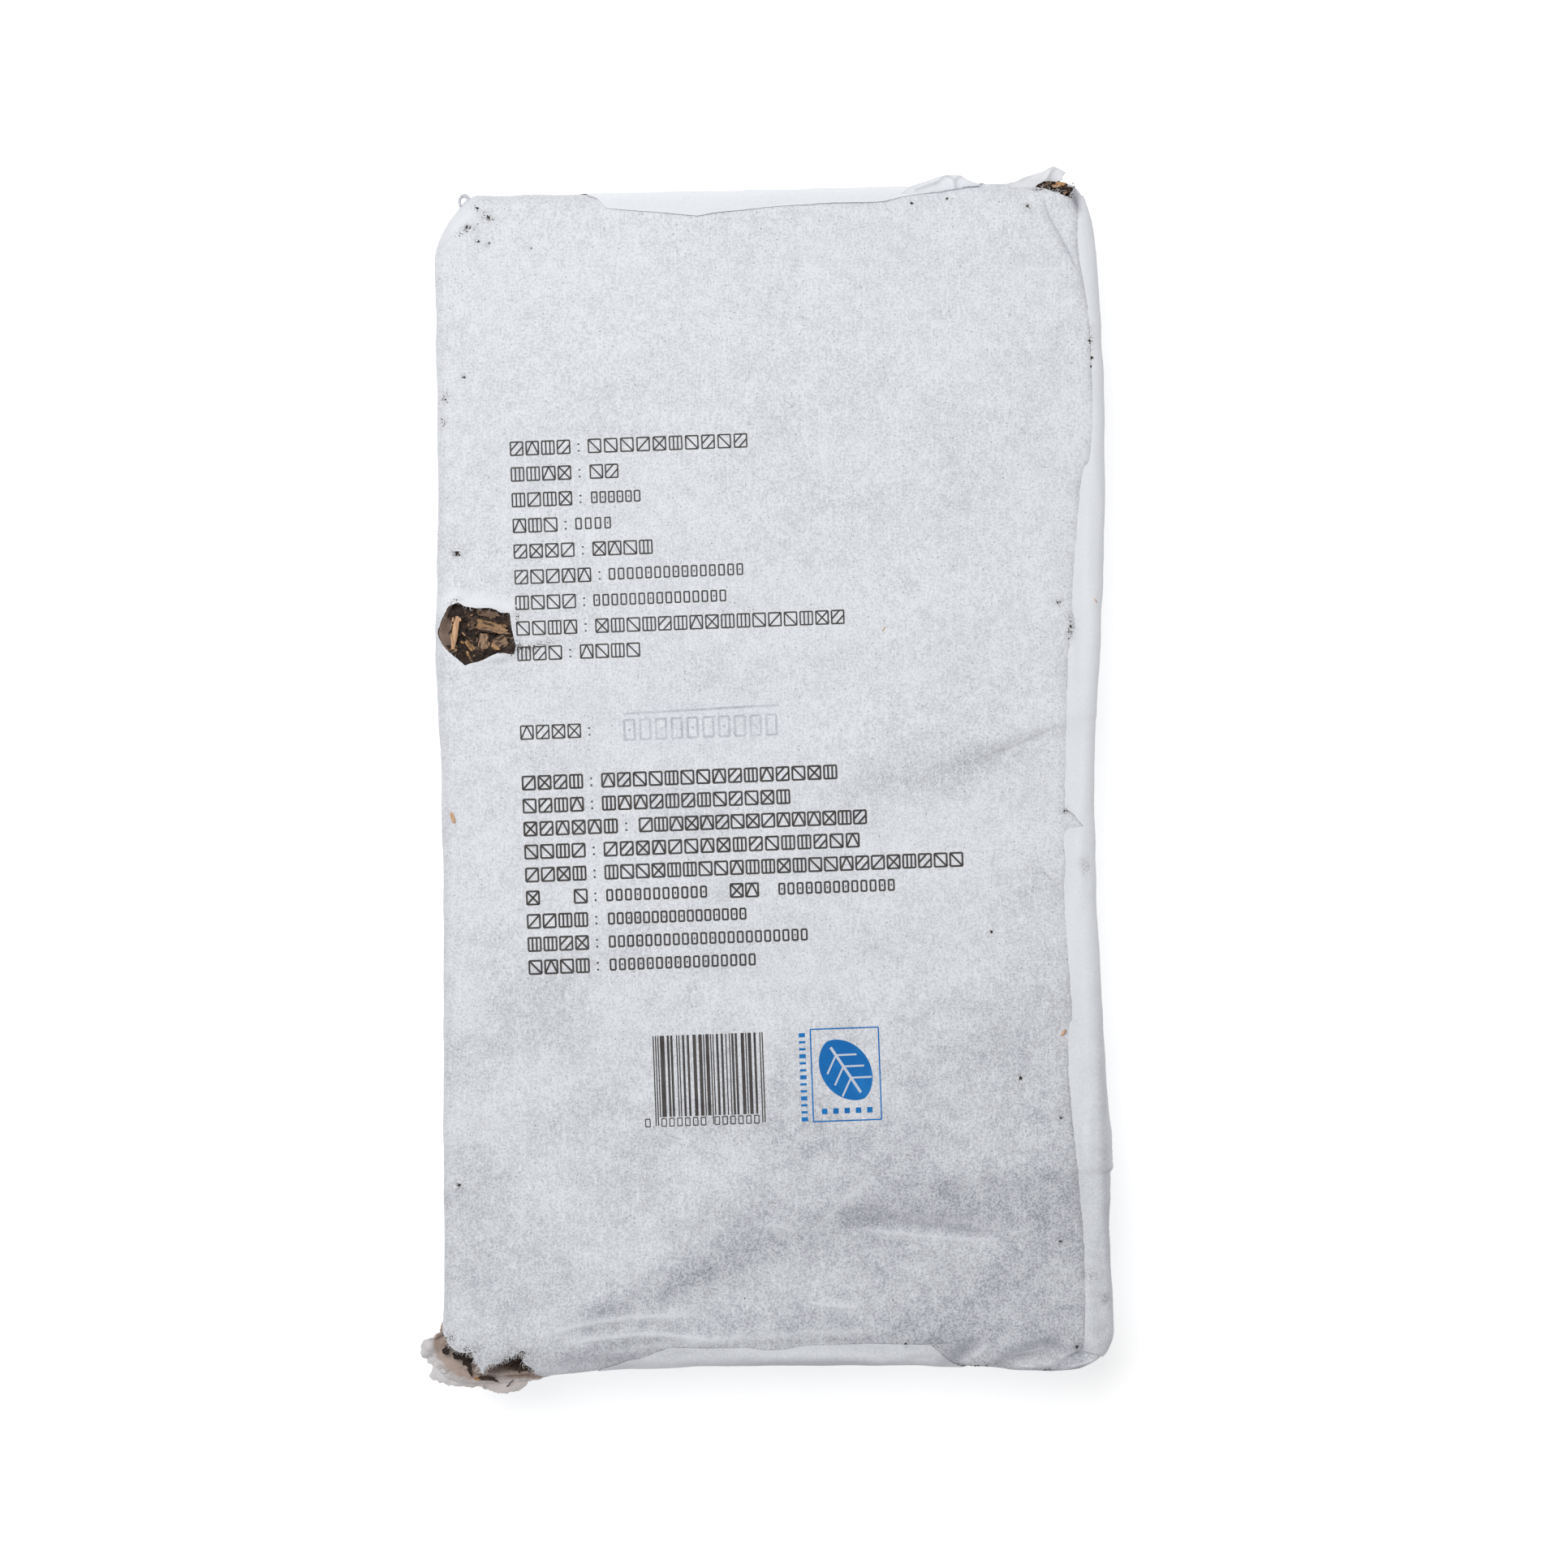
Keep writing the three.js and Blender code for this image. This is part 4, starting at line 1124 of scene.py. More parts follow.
def upper_face(edge_tear, corner_tear):
    """The flat mesh of the upper face and its rounded edges, with the tears left open."""
    first, last = burst_steps()
    outer = ring(WALL_TOP)
    around = np.arange(last, last + (first - last) % len(outer) + 1) % len(outer)
    torn = ragged(np.vstack([outer[first], BURST_EDGE, outer[last]]), TORN_STEP, 0.28, SHEET_SEED)
    boundary = np.vstack([outer[around], torn[1:-1]])
    tears = [(edge_tear, True), (corner_tear, True), (torn, False)]
    coarse_tears = [(walk(line, 1.5, closed), closed) for line, closed in tears]
    low, high = outer.min(axis=0), outer.max(axis=0)
    banded = np.vstack([ring(past) for past in np.linspace(-EDGE - 1.2, WALL_TOP, 8)[:-1]])
    creased = crease_points()
    creased = creased[inside(creased, ring(-FLAT_WITHIN))]
    middle = scatter(low, high, SHEET_GRID, SHEET_SEED)
    middle = clear_of(middle[inside(middle, ring(-FLAT_WITHIN))], coarse_tears, FINE_REACH - 0.1)
    middle = middle[np.min(np.linalg.norm(middle[:, None] - creased[None], axis=2), axis=1) > 0.55]
    middle = clear_of(middle, [(SEAM_COARSE, False)], 2.4)
    fine = scatter(low, high, FINE_GRID, SHEET_SEED + 1)
    near = np.min([to_line(fine, line, closed)[0] for line, closed in coarse_tears], axis=0)
    near = np.minimum(near, to_line(fine, SEAM_COARSE)[0] + 1.2)
    points = clear_of(np.vstack([banded, fine[near < FINE_REACH], creased]), tears, 0.3)
    points = np.vstack([points, middle])
    points = points[inside(points, boundary) & ~inside(points, edge_tear) & ~inside(points, corner_tear)]
    return triangulate([boundary, edge_tear, corner_tear], points)


def wall_mesh():
    """The walls, row by row downwards and open at the burst corner, and where the last row starts."""
    first, last = burst_steps()
    count = len(WALL_RING)
    pasts = WALL_TOP + np.linspace(0, WALL_LENGTH, WALL_ROWS + 1)
    flat = np.vstack([ring(past) for past in pasts])
    foot, out = (np.tile(row, (len(pasts), 1)) for row in (WALL_FOOT, WALL_OUT))
    places = folded(flat, (foot, out, np.repeat(pasts, count)))
    _, faces = loft(np.split(places, len(pasts)), closed=True)
    open_rows = int(np.sum(TOP - EDGE - (pasts - WALL_TOP) - WALL_START > BURST_FLOOR))
    row, column = np.divmod(np.arange(len(faces)) // 2, count)
    burst = (row < open_rows) & ((column - first) % count < (last - first) % count)
    places[-count:, 2] = 0
    return places, faces[~burst], len(places) - count


def make_sheet(paper):
    """The main sheet: upper face, walls and underside, with its tears."""
    edge_tear = ragged(EDGE_TEAR, TORN_STEP, 0.09, SHEET_SEED + 5, closed=True)
    corner_tear = ragged(CORNER_TEAR, TORN_STEP, 0.18, SHEET_SEED + 6, closed=True)
    flat, faces = upper_face(edge_tear, corner_tear)
    wall, wall_faces, lowest = wall_mesh()
    floor_flat, floor_faces = filled(wall[lowest:, :2], FLOOR_GRID)
    lifted = 0.12 * np.maximum(0, noise(floor_flat[:, 0], floor_flat[:, 1], 17, 41))
    lifted[to_line(floor_flat, wall[lowest:, :2], True)[0] < 1e-4] = 0
    floor = (np.column_stack([floor_flat, lifted]), floor_faces[:, ::-1])
    places, faces = join([(folded(flat, rim_of(flat)), faces), (wall, wall_faces), floor])
    _, _, past = rim_of(places[:, :2])
    deep = smoothstep(TOP - 2, TOP - 5, places[:, 2])
    layers_and_highlight = np.clip(whiter(places[:, :2]) * (1 - deep) + 0.3 * deep, 0, 1)
    thick, faces = thicken(places, faces)
    grime_and_shade = np.maximum(marks_at(thick, SHADE_AND_GRIME_MARKS), seam_dust_and_shade(thick) * (thick[:, 2] > TOP - EDGE))
    # painted shade where the sheet bends over the upper edges
    edge_shade = smoothstep(-2.4, -0.6, np.r_[past, past]) * smoothstep(TOP - 4, TOP - 1.5, thick[:, 2])
    grime_and_shade = np.maximum(grime_and_shade, EDGE_SHADE * edge_shade)
    values = paper_values(thick, np.r_[layers_and_highlight, layers_and_highlight], two_sided(np.zeros(len(places)), 1.0), 0.0, grime_and_shade)
    piece = make_piece("wrapper_sheet", thick, faces, paper, values=values)
    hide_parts("paper_wrapper")


def make_lap(name, loop, paper, layers_and_highlight, relief, edge_shade_strength):
    """A lapped layer over the sheet, from a loop in the flat. It hides less of the tea towards the foot."""
    flat, faces = filled(loop, LAP_GRID, SHEET_SEED)
    rim = rim_of(flat)
    places = folded(flat, rim, LAYER + seam_dip(flat) + relief(flat, rim[2]))
    thick, faces = thicken(places, faces, 0.15)
    whole = np.clip(layers_and_highlight - 0.32 * smoothstep(-30, -125, thick[:, 1]), 0, 1)
    under = two_sided(0.0, np.full(len(places), 0.3))
    # painted shade where a lap bends over the edges
    edge_shade = edge_shade_strength * smoothstep(-3.4, -1.4, np.r_[rim[2], rim[2]])
    grime_and_shade = np.maximum(marks_at(thick, SHADE_AND_GRIME_MARKS), edge_shade)
    return make_piece(name, thick, faces, paper, values=paper_values(thick, whole, under, 0.0, grime_and_shade))


LAP_END = WALL_TOP + WALL_LENGTH - FOOT_EDGE * 1.2  # how far past the outline a lap reaches down the wall


def seam_torn_line():
    return np.vstack([
        ragged(spline(SEAM_UPPER), LAP_STEP, 0.10, 51),
        ragged(SEAM_NOTCH, LAP_STEP, 0.05, 52),
        ragged(spline(SEAM_LOWER), LAP_STEP, 0.10, 53),
    ])


def seam_loop():
    """The long seam's lap: its torn edge on top, then down the right side."""
    outside = OUTLINE + OUTWARDS * LAP_END
    side = outside[(OUTLINE[:, 0] > 60) & (OUTLINE[:, 1] > -127.0) & (OUTLINE[:, 1] < 131.2)]
    return np.vstack([seam_torn_line(), walk(side[np.argsort(side[:, 1])], 1.6)])


def seam_relief(flat, past):
    """The seam's lap lifts along its torn edge and has long, narrow folds."""
    x, y = flat[:, 0], flat[:, 1]
    gap, _ = to_line(flat, np.vstack([spline(SEAM_UPPER), SEAM_NOTCH, spline(SEAM_LOWER)]))
    lift = 0.28 * np.exp(-((gap / 1.4) ** 2)) * (0.5 + 0.5 * noise(y, y * 0, 17, 61))
    fold = 0.25 * np.maximum(0, noise(x * 1.6, y * 0.16, 2.6, 62)) ** 1.5
    return lift + fold * smoothstep(0, 2, gap)


def flap_loop(lap, toward, low_left, low_right, seed):
    """An end flap: its torn lap on top, then two slanting folds down to its full width."""
    torn = ragged(lap, LAP_STEP, 0.04, seed)
    right = np.array([low_right, torn[-1, 1] + toward * LAP_END])
    left = np.array([low_left, torn[0, 1] + toward * LAP_END])
    return np.vstack([torn, walk([torn[-1], right], 1.2)[1:], walk([right, left], 1.6)[1:],
                      walk([left, torn[0]], 1.2)[1:-1]])


def flap_relief(flat, past):
    """An end flap lifts a little inside the edge, and has folds across it."""
    x, y = flat[:, 0], flat[:, 1]
    lift = 0.30 * smoothstep(-2, -6, past) * (0.45 + 0.55 * noise(x, y * 0, 17, 63))
    return 0.05 + lift + 0.14 * noise(x * 0.35, y * 1.6, 5.0, 64) * smoothstep(-9, -3, past)


# The flared paper: points along it, rows over its shelf, and rows down outside
COLLAR_ACROSS, COLLAR_SHELF, COLLAR_SKIRT = 190, 34, 14
# Its height under the torn edge and at its two ends, and how far its shelf lies below its ends
COLLAR_INNER_Z, COLLAR_END_Z, SHELF_DROP = 29.2, 27.8, 2.2
EAR_LOBE, EAR_LOBE_REACH = (-76.7, -125.5), 1.7
STAINED_CORNERS = [(-45, -131), (-45, -112), (-74.6, -112)]  # close BURST_WHITE round the stained paper
RIM_FOLD = [(-70.0, -131.6), (-66.0, -132.1), (-60.0, -132.4), (-54, -131.8)]
RIDGE = [
    (-68.6, -129.9), (-65.6, -130.9), (-61.5, -131.5), (-57.4, -131.3), (-52.6, -130.8),
]
SECOND_FOLD = [
    (-75.0, -129.6), (-72.4, -131.7), (-69.8, -132.8), (-66.4, -133.0), (-61.0, -133.1),
    (-53.6, -132.5),
]
RIDGE_RISE, SECOND_RISE = 1.6, 1.1


def collar_height(plan, s, rim_height, shelf_height, ends):
    """How high the flared paper stands, a part s of the way from its inner end to the ragged rim."""
    x, y = plan[:, 0], plan[:, 1]
    dip = smoothstep(0, 0.30, s)
    height = COLLAR_INNER_Z * (1 - dip) + shelf_height * dip
    height = height + (rim_height - shelf_height) * smoothstep(0.5, 0.97, s)
    ripple = 0.40 * noise(x, y, 4.5, 83) + 0.30 * noise(x, y, 1.7, 84) + 0.14 * noise(x, y, 0.8, 86)
    ridge, _ = to_line(plan, RIDGE)
    fold, _ = to_line(plan, SECOND_FOLD)
    folds = RIDGE_RISE * np.exp(-((ridge / 0.55) ** 2)) + SECOND_RISE * np.exp(-((fold / 0.4) ** 2))
    lobe = np.hypot(x - EAR_LOBE[0], y - EAR_LOBE[1]) / EAR_LOBE_REACH
    return height + (ripple * smoothstep(0.1, 0.4, s) + folds) * ends + 1.6 * np.exp(-(lobe**2))


def collar_rows(ends):
    """Rows of places over the collar's shelf out to its ragged rim, and back down outside to the sill."""
    count = COLLAR_ACROSS
    rim = spread(ragged(spline(BURST_RIM), TORN_STEP, 0.42, 81), count)
    inner = spread(spline(BURST_INNER), count)
    first, last = burst_steps()
    sill = spread(WALL_FOOT[np.arange(first, last + 1)], count)
    waves = noise(np.linspace(0, 1, count) * 9, np.zeros(count), 1, 82)
    rim_height = COLLAR_END_Z - ends * (1.4 + 0.9 * waves)
    shelf_height = COLLAR_END_Z - ends * SHELF_DROP
    rows = []
    for s in np.linspace(0, 1, COLLAR_SHELF):
        plan = inner * (1 - s) + rim * s
        height = collar_height(plan, s, rim_height, shelf_height, ends)
        rows.append(np.column_stack([plan, np.minimum(height, TOP - 0.7)]))
    for s in np.linspace(0.08, 1, COLLAR_SKIRT):
        fall = s**0.8
        plan = rim * (1 - fall) + sill * fall
        bulge = 0.5 * math.sin(math.pi * min(1, s * 4)) * ends
        height = rows[COLLAR_SHELF - 1][:, 2] * (1 - s) + (BURST_FLOOR - 1) * s + bulge
        rows.append(np.column_stack([plan, height]))
    return rows


def collar_values(thick, ends, skirt):
    """What the paper's material reads on the flared paper: its shelf is stained, and its skirt isn't."""
    x, y = thick[:, 0], thick[:, 1]
    stained = np.vstack([BURST_WHITE, STAINED_CORNERS])
    edge = to_line(thick[:, :2], stained, True)[0] * np.where(inside(thick[:, :2], stained), 1, -1)
    inner_side = smoothstep(-0.4, 0.5, edge + 0.5 * noise(x, y, 1.5, 85)) * ~skirt
    brown = 0.8 * np.exp(-(np.hypot((x + 72.8) / 2.4, (y + 122.6) / 3.0) ** 2))
    crease, _ = to_line(thick[:, :2], RIM_FOLD)
    brown = np.maximum(brown, 0.15 * np.exp(-((crease / 0.4) ** 2)))
    foot_band = 0.45 * smoothstep(-72.5, -68.0, x) * (0.7 + 0.3 * noise(x, y, 1.1, 87))
    foot_band = foot_band * smoothstep(-51.0, -56.0, x)
    inner_side = np.maximum(inner_side * 0.9, foot_band * ~skirt)
    lifted = np.tile(ends, len(thick) // len(ends)) * smoothstep(BURST_FLOOR, BURST_FLOOR + 18, thick[:, 2])
    thin = (0.34 + 0.18 * smoothstep(-73, -67, x)) * ~skirt
    return paper_values(thick, 0.3 + 0.45 * lifted, np.maximum(inner_side, thin), brown * ~skirt)


def make_burst_collar(paper):
    """The burst corner's flared paper: a shelf, a ragged rim, and a skirt back down to the wall."""
    u = np.linspace(0, 1, COLLAR_ACROSS)
    ends = smoothstep(0, 0.10, u) * smoothstep(1, 0.90, u)
    places, faces = loft(collar_rows(ends))
    thick, faces = thicken(places, faces[:, ::-1], 0.2)
    skirt = np.tile(np.arange(len(places)) >= COLLAR_SHELF * COLLAR_ACROSS, 2)
    make_piece("burst_collar", thick, faces, paper, values=collar_values(thick, ends, skirt))


# Loose bits of paper: the scrap at the head's right corner and the fold that stands over the head's edge
TONGUE = [
    (51.8, 133.1), (54.9, 134.3), (57.1, 135.1), (59.6, 136.0), (60.9, 136.9), (62.3, 137.3),
    (63.8, 136.6), (65.1, 135.9), (64.3, 135.0), (64.3, 134.2), (62.7, 133.9), (59.9, 133.6),
    (58.6, 133.0), (57.9, 132.1), (56.0, 131.7), (52.9, 132.0),
]
HEAD_KNOT = [
    (28.3, 131.0), (31.0, 132.9), (33.4, 133.6), (36.0, 134.6), (38.2, 135.2), (41.7, 135.1),
    (42.9, 134.3), (44.1, 133.6), (46.3, 132.9), (43.4, 132.6), (39.9, 132.0), (34.5, 131.1),
    (31.5, 130.7),
]
TONGUE_FOLD = [(58.4, 132.4), (60.8, 134.3), (62.0, 136.6)]
KNOT_FOLDS = [
    [(31.5, 131.8), (36.5, 133.6), (38.4, 135.2)], [(38.4, 135.2), (40.2, 134.0), (41.7, 135.1)],
    [(40.2, 134.0), (40.4, 132.4)],
]


def make_patch(name, places, folds, height, paper, inner=0.0, seed=91):
    """Loose paper over a loop in plan, at a height that a function gives, with painted shade along its folds
    and edges.
    """
    flat, faces = filled(ragged(places, 0.4, 0.09, seed, closed=True), 0.4, seed)
    x, y = flat[:, 0], flat[:, 1]
    thick, faces = thicken(np.column_stack([flat, height(x, y)]), faces, 0.18)
    gap = np.min([to_line(flat, np.array(fold))[0] for fold in folds], axis=0)
    edge, _ = to_line(flat, places, True)
    # painted shade along the folds and the edge
    tone = np.maximum(0.40 * np.exp(-((gap / 0.25) ** 2)), 0.25 * np.exp(-edge / 0.25))
    values = paper_values(thick, 1.0, inner, 0.0, np.r_[tone, tone])
    return make_piece(name, thick, faces, paper, values=values)


def tongue_height(x, y):
    """A crinkled scrap that stands out level over the head's edge and droops at its tip."""
    fold, _ = to_line(np.column_stack([x, y]), TONGUE_FOLD)
    crinkle = 0.28 * noise(x, y, 1.9, 92) + 0.16 * noise(x, y, 0.8, 94)
    out = smoothstep(132.4, 134.0, y)
    droop = 0.9 * smoothstep(134.6, 136.8, y)
    return 31.25 + out * (crinkle + 0.55 * np.exp(-((fold / 0.5) ** 2))) - droop


def knot_height(x, y):
    """A creased fold of the head flap that stands a little over the head's edge."""
    plan = np.column_stack([x, y])
    creases = sum(0.35 * np.exp(-((to_line(plan, line)[0] / 0.40) ** 2)) for line in KNOT_FOLDS)
    rise = smoothstep(28, 36, x) * smoothstep(47, 43, x)
    droop = 0.8 * smoothstep(133.2, 135.4, y)
    return 31.75 + rise * (0.25 + creases + 0.10 * noise(x, y, 1.6, 93)) - droop


EAR_PATH = [
    (-69.4, 128.4, 30.3), (-69.7, 129.3, 30.3), (-69.6, 130.1, 30.2), (-69.1, 130.7, 30.3),
    (-68.4, 130.8, 30.4), (-67.8, 130.3, 30.4), (-67.5, 129.6, 30.5), (-67.2, 129.0, 30.4),
]
EAR_WIDTH = [0.34, 0.34, 0.38, 0.44, 0.48, 0.48, 0.44, 0.36]


def make_ear(paper):
    """The little loop of paper at the head's left corner, with a hole through it."""
    line = walk(EAR_PATH, 0.25)
    width = np.interp(np.linspace(0, 1, len(line)), np.linspace(0, 1, len(EAR_WIDTH)), EAR_WIDTH)
    places, faces = tube(line, width, 8, 1.3)
    make_piece("corner_ear", places, faces, paper, values=paper_values(places, 0.5, 0.0, 0.0, 0.28))


HOLE_WALL_UPPER = [
    (-71.3, 40.0), (-72.6, 38.6), (-73.8, 35.4), (-74.6, 33.6), (-74.0, 32.2), (-73.2, 30.6),
    (-71.9, 29.0), (-69.8, 27.2),
]
HOLE_WALL_LOW_X, HOLE_WALL_LOW_Z = -71.0, 28.4  # where it meets the brick's side
HOLE_WALL_POINTS = 40


def make_hole_wall(paper):
    """The brown inner side of the wall's paper, seen through the left tear between paper and brick."""
    upper_flat = spread(np.array(HOLE_WALL_UPPER, float), HOLE_WALL_POINTS)
    upper = on_pack(upper_flat, rim_of(upper_flat), -0.30)
    y = np.linspace(HOLE_WALL_UPPER[0][1], HOLE_WALL_UPPER[-1][1], HOLE_WALL_POINTS)
    lower = np.column_stack([np.full(len(y), HOLE_WALL_LOW_X), y, np.full(len(y), HOLE_WALL_LOW_Z)])
    rows = []
    for s in np.linspace(0, 1, 12):
        row = upper * (1 - s) + lower * s
        row[:, 2] -= 0.5 * np.sin(math.pi * s)
        row[:, 2] += 0.10 * noise(row[:, 1], row[:, 0], 2.0, 95)
        rows.append(row)
    places, faces = loft(rows)
    thick, faces = thicken(places, faces, 0.12)
    make_piece("tear_wall", thick, faces, paper, values=paper_values(thick, 1.0, 0.95, 0.70))


# ---------------------------------------------------------------- loose fibres at the torn edges

def make_fibres(material):
    """Short hairs of torn paper that stick out over the tears."""
    drawn = np.random.default_rng(101)
    heap = Heap()
    edges = [(EDGE_TEAR, True, 36, 1), (CORNER_TEAR, True, 60, 1), (BURST_EDGE, False, 240, -1)]
    for line, closed, count, way_in in edges:
        line = walk(line, 0.25, closed)
        inward = leftwards(line, closed) * way_in
        for _ in range(count):
            k = drawn.integers(len(line))
            x, y = line[k]
            smooth_edge = x < -60 and 0 < y < 37 and (x < -71 or y < 31)  # of the tear at the left edge
            if smooth_edge and drawn.uniform() < 0.85:
                continue
            start = line[k] - inward[k] * 0.3
            way = turned([(*inward[k], 0)], drawn.uniform(-55, 55))[0, :2]
            length = drawn.uniform(0.5, 1.7)
            t = np.linspace(0, 1, 5)[:, None]
            bow = np.array([-way[1], way[0]]) * drawn.uniform(-0.4, 0.4)
            flat = start + way * t * length + bow * np.sin(t * math.pi) * length
            rise = drawn.uniform(-0.5, 0.5) * t[:, 0] * length - 0.1
            places = folded(flat, rim_of(flat), rise)
            heap.add(tube(places, np.linspace(0.045, 0.02, 5), 3))
    for _ in range(16):
        y = drawn.uniform(33.4, 36.0)
        line = np.array([(-74.4, y, 29.0), (-74.9, y + drawn.uniform(-0.3, 0.3), 29.2),
                         (-75.0 - drawn.uniform(0.1, 0.8), y + drawn.uniform(-0.7, 0.7), 29.5)])
        heap.add(tube(walk(line, 0.2), 0.05, 3))
    heap.make("torn_fibres", material, "paper")


# ---------------------------------------------------------------- the tea brick

BRICK_GRID, SHOWN_GRID = 1.5, 0.45
SHOWN_BOX, SHOWN_MIDDLE, SHOWN_REACH = ((-76, 22), (-54, 44)), (-66, 33.2), 11  # what the left tear shows


def brick_outline(inset, step=1.5):
    """The brick's outline in plan, some way inside its edge."""
    half_x, half_y = BRICK_HALF[0] - inset, BRICK_HALF[1] - inset
    radius = max(BRICK_CORNER - inset, 0.5)
    runs = []
    for quarter, (sx, sy) in enumerate(((1, 1), (-1, 1), (-1, -1), (1, -1))):
        angle = np.radians(np.linspace(quarter * 90, quarter * 90 + 90, 13))
        centre = np.array([sx * (half_x - radius), sy * (half_y - radius)])
        runs.append(centre + radius * np.stack([np.cos(angle), np.sin(angle)], 1))
    line = np.vstack(runs)
    line = turned(np.column_stack([line, np.zeros(len(line))]), BRICK_TURN)[:, :2] + BRICK_MIDDLE
    return walk(line, step, closed=True)


def crumble(places):
    """Pushes places out of the hollows where tea has crumbled away."""
    for middle, reach in HOLLOWS:
        offset = (places - middle) / np.array(reach, float)
        distance = np.linalg.norm(offset, axis=1)[:, None]
        within = distance < 1
        rough = 1 + 0.05 * noise(places[:, 0], places[:, 1] + places[:, 2], 1.6, 111)[:, None]
        places = np.where(within, middle + offset / (distance + 1e-9) * reach * rough, places)
    return places


def brick_relief(places):
    """Pressed leaves: short ridges that lie in several directions."""
    x, y = places[:, 0] + 0.7 * places[:, 2], places[:, 1] + 0.9 * places[:, 2]
    total = 0.16 * noise(x, y, 9, 112)
    for turn, seed in ((15, 113), (75, 114), (135, 115)):
        c, s = cos_sin(turn)
        streak = noise((x * c + y * s) / 3.2, (y * c - x * s), 1.5, seed)
        total = total + 0.22 * (1 - np.abs(streak)) ** 2 * np.clip(0.5 + noise(x, y, 6, seed + 5), 0, 1)
    return total - 0.25


def rounded_rows(base, out, level, way):
    """Rows round the brick's upper edge (way -1) from above, or round its lower one (way 1) from below."""
    rows = []
    for angle in np.radians(np.linspace(0, 90, 5)):
        plan = base - out * BRICK_EDGE * (1 - math.sin(angle))
        rows.append(level_at(plan, level + way * BRICK_EDGE * (1 - math.cos(angle))))
    return rows


def level_at(flat, height):
    return np.column_stack([flat, np.full(len(flat), height)])


def brick_top(loop):
    """The flat mesh of the brick's upper face, finer where the left tear shows it."""
    points = scatter(loop.min(axis=0), loop.max(axis=0), BRICK_GRID, 116)
    fine = scatter(*SHOWN_BOX, SHOWN_GRID, 117)
    fine = fine[np.hypot(*(fine - SHOWN_MIDDLE).T) < SHOWN_REACH]
    points = points[np.hypot(*(points - SHOWN_MIDDLE).T) > SHOWN_REACH + 0.3]
    points = np.vstack([points, fine])
    points = points[inside(points, loop)]
    points = points[to_line(points, loop, True)[0] > 0.7]
    return triangulate([loop], points)


def make_brick(tea):
    """The pressed brick, closed, with rounded edges and a relief of leaves."""
    base = brick_outline(0)
    out = -leftwards(base, closed=True)
    straight = np.linspace(BRICK_TOP - BRICK_EDGE, BRICK_BOTTOM + BRICK_EDGE, 16)[1:-1]
    rows = rounded_rows(base, out, BRICK_TOP, -1)
    rows += [level_at(base, height) for height in straight]
    rows += rounded_rows(base, out, BRICK_BOTTOM, 1)[::-1]
    top_loop = rows[0][:, :2]
    flat, top_faces = brick_top(top_loop)
    bottom, bottom_faces = filled(top_loop, 2.2)
    places, faces = join([
        loft(rows, closed=True),
        (level_at(flat, BRICK_TOP), top_faces),
        (level_at(bottom, BRICK_BOTTOM), bottom_faces[:, ::-1]),
    ])
    places = places + vertex_normals(places, faces) * brick_relief(places)[:, None]
    places = crumble(places)
    x, y, z = places.T
    tone = np.clip(0.05 + 0.22 * noise(x, y + z, 2.4, 118), 0, 1)
    values = {"tone": tone, "along": x + z, "across": y + 0.6 * z}
    piece = make_piece("pressed_brick", places, faces, tea, values, 60)
    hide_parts("tea_brick")


# ---------------------------------------------------------------- leaves, stems and crumbs

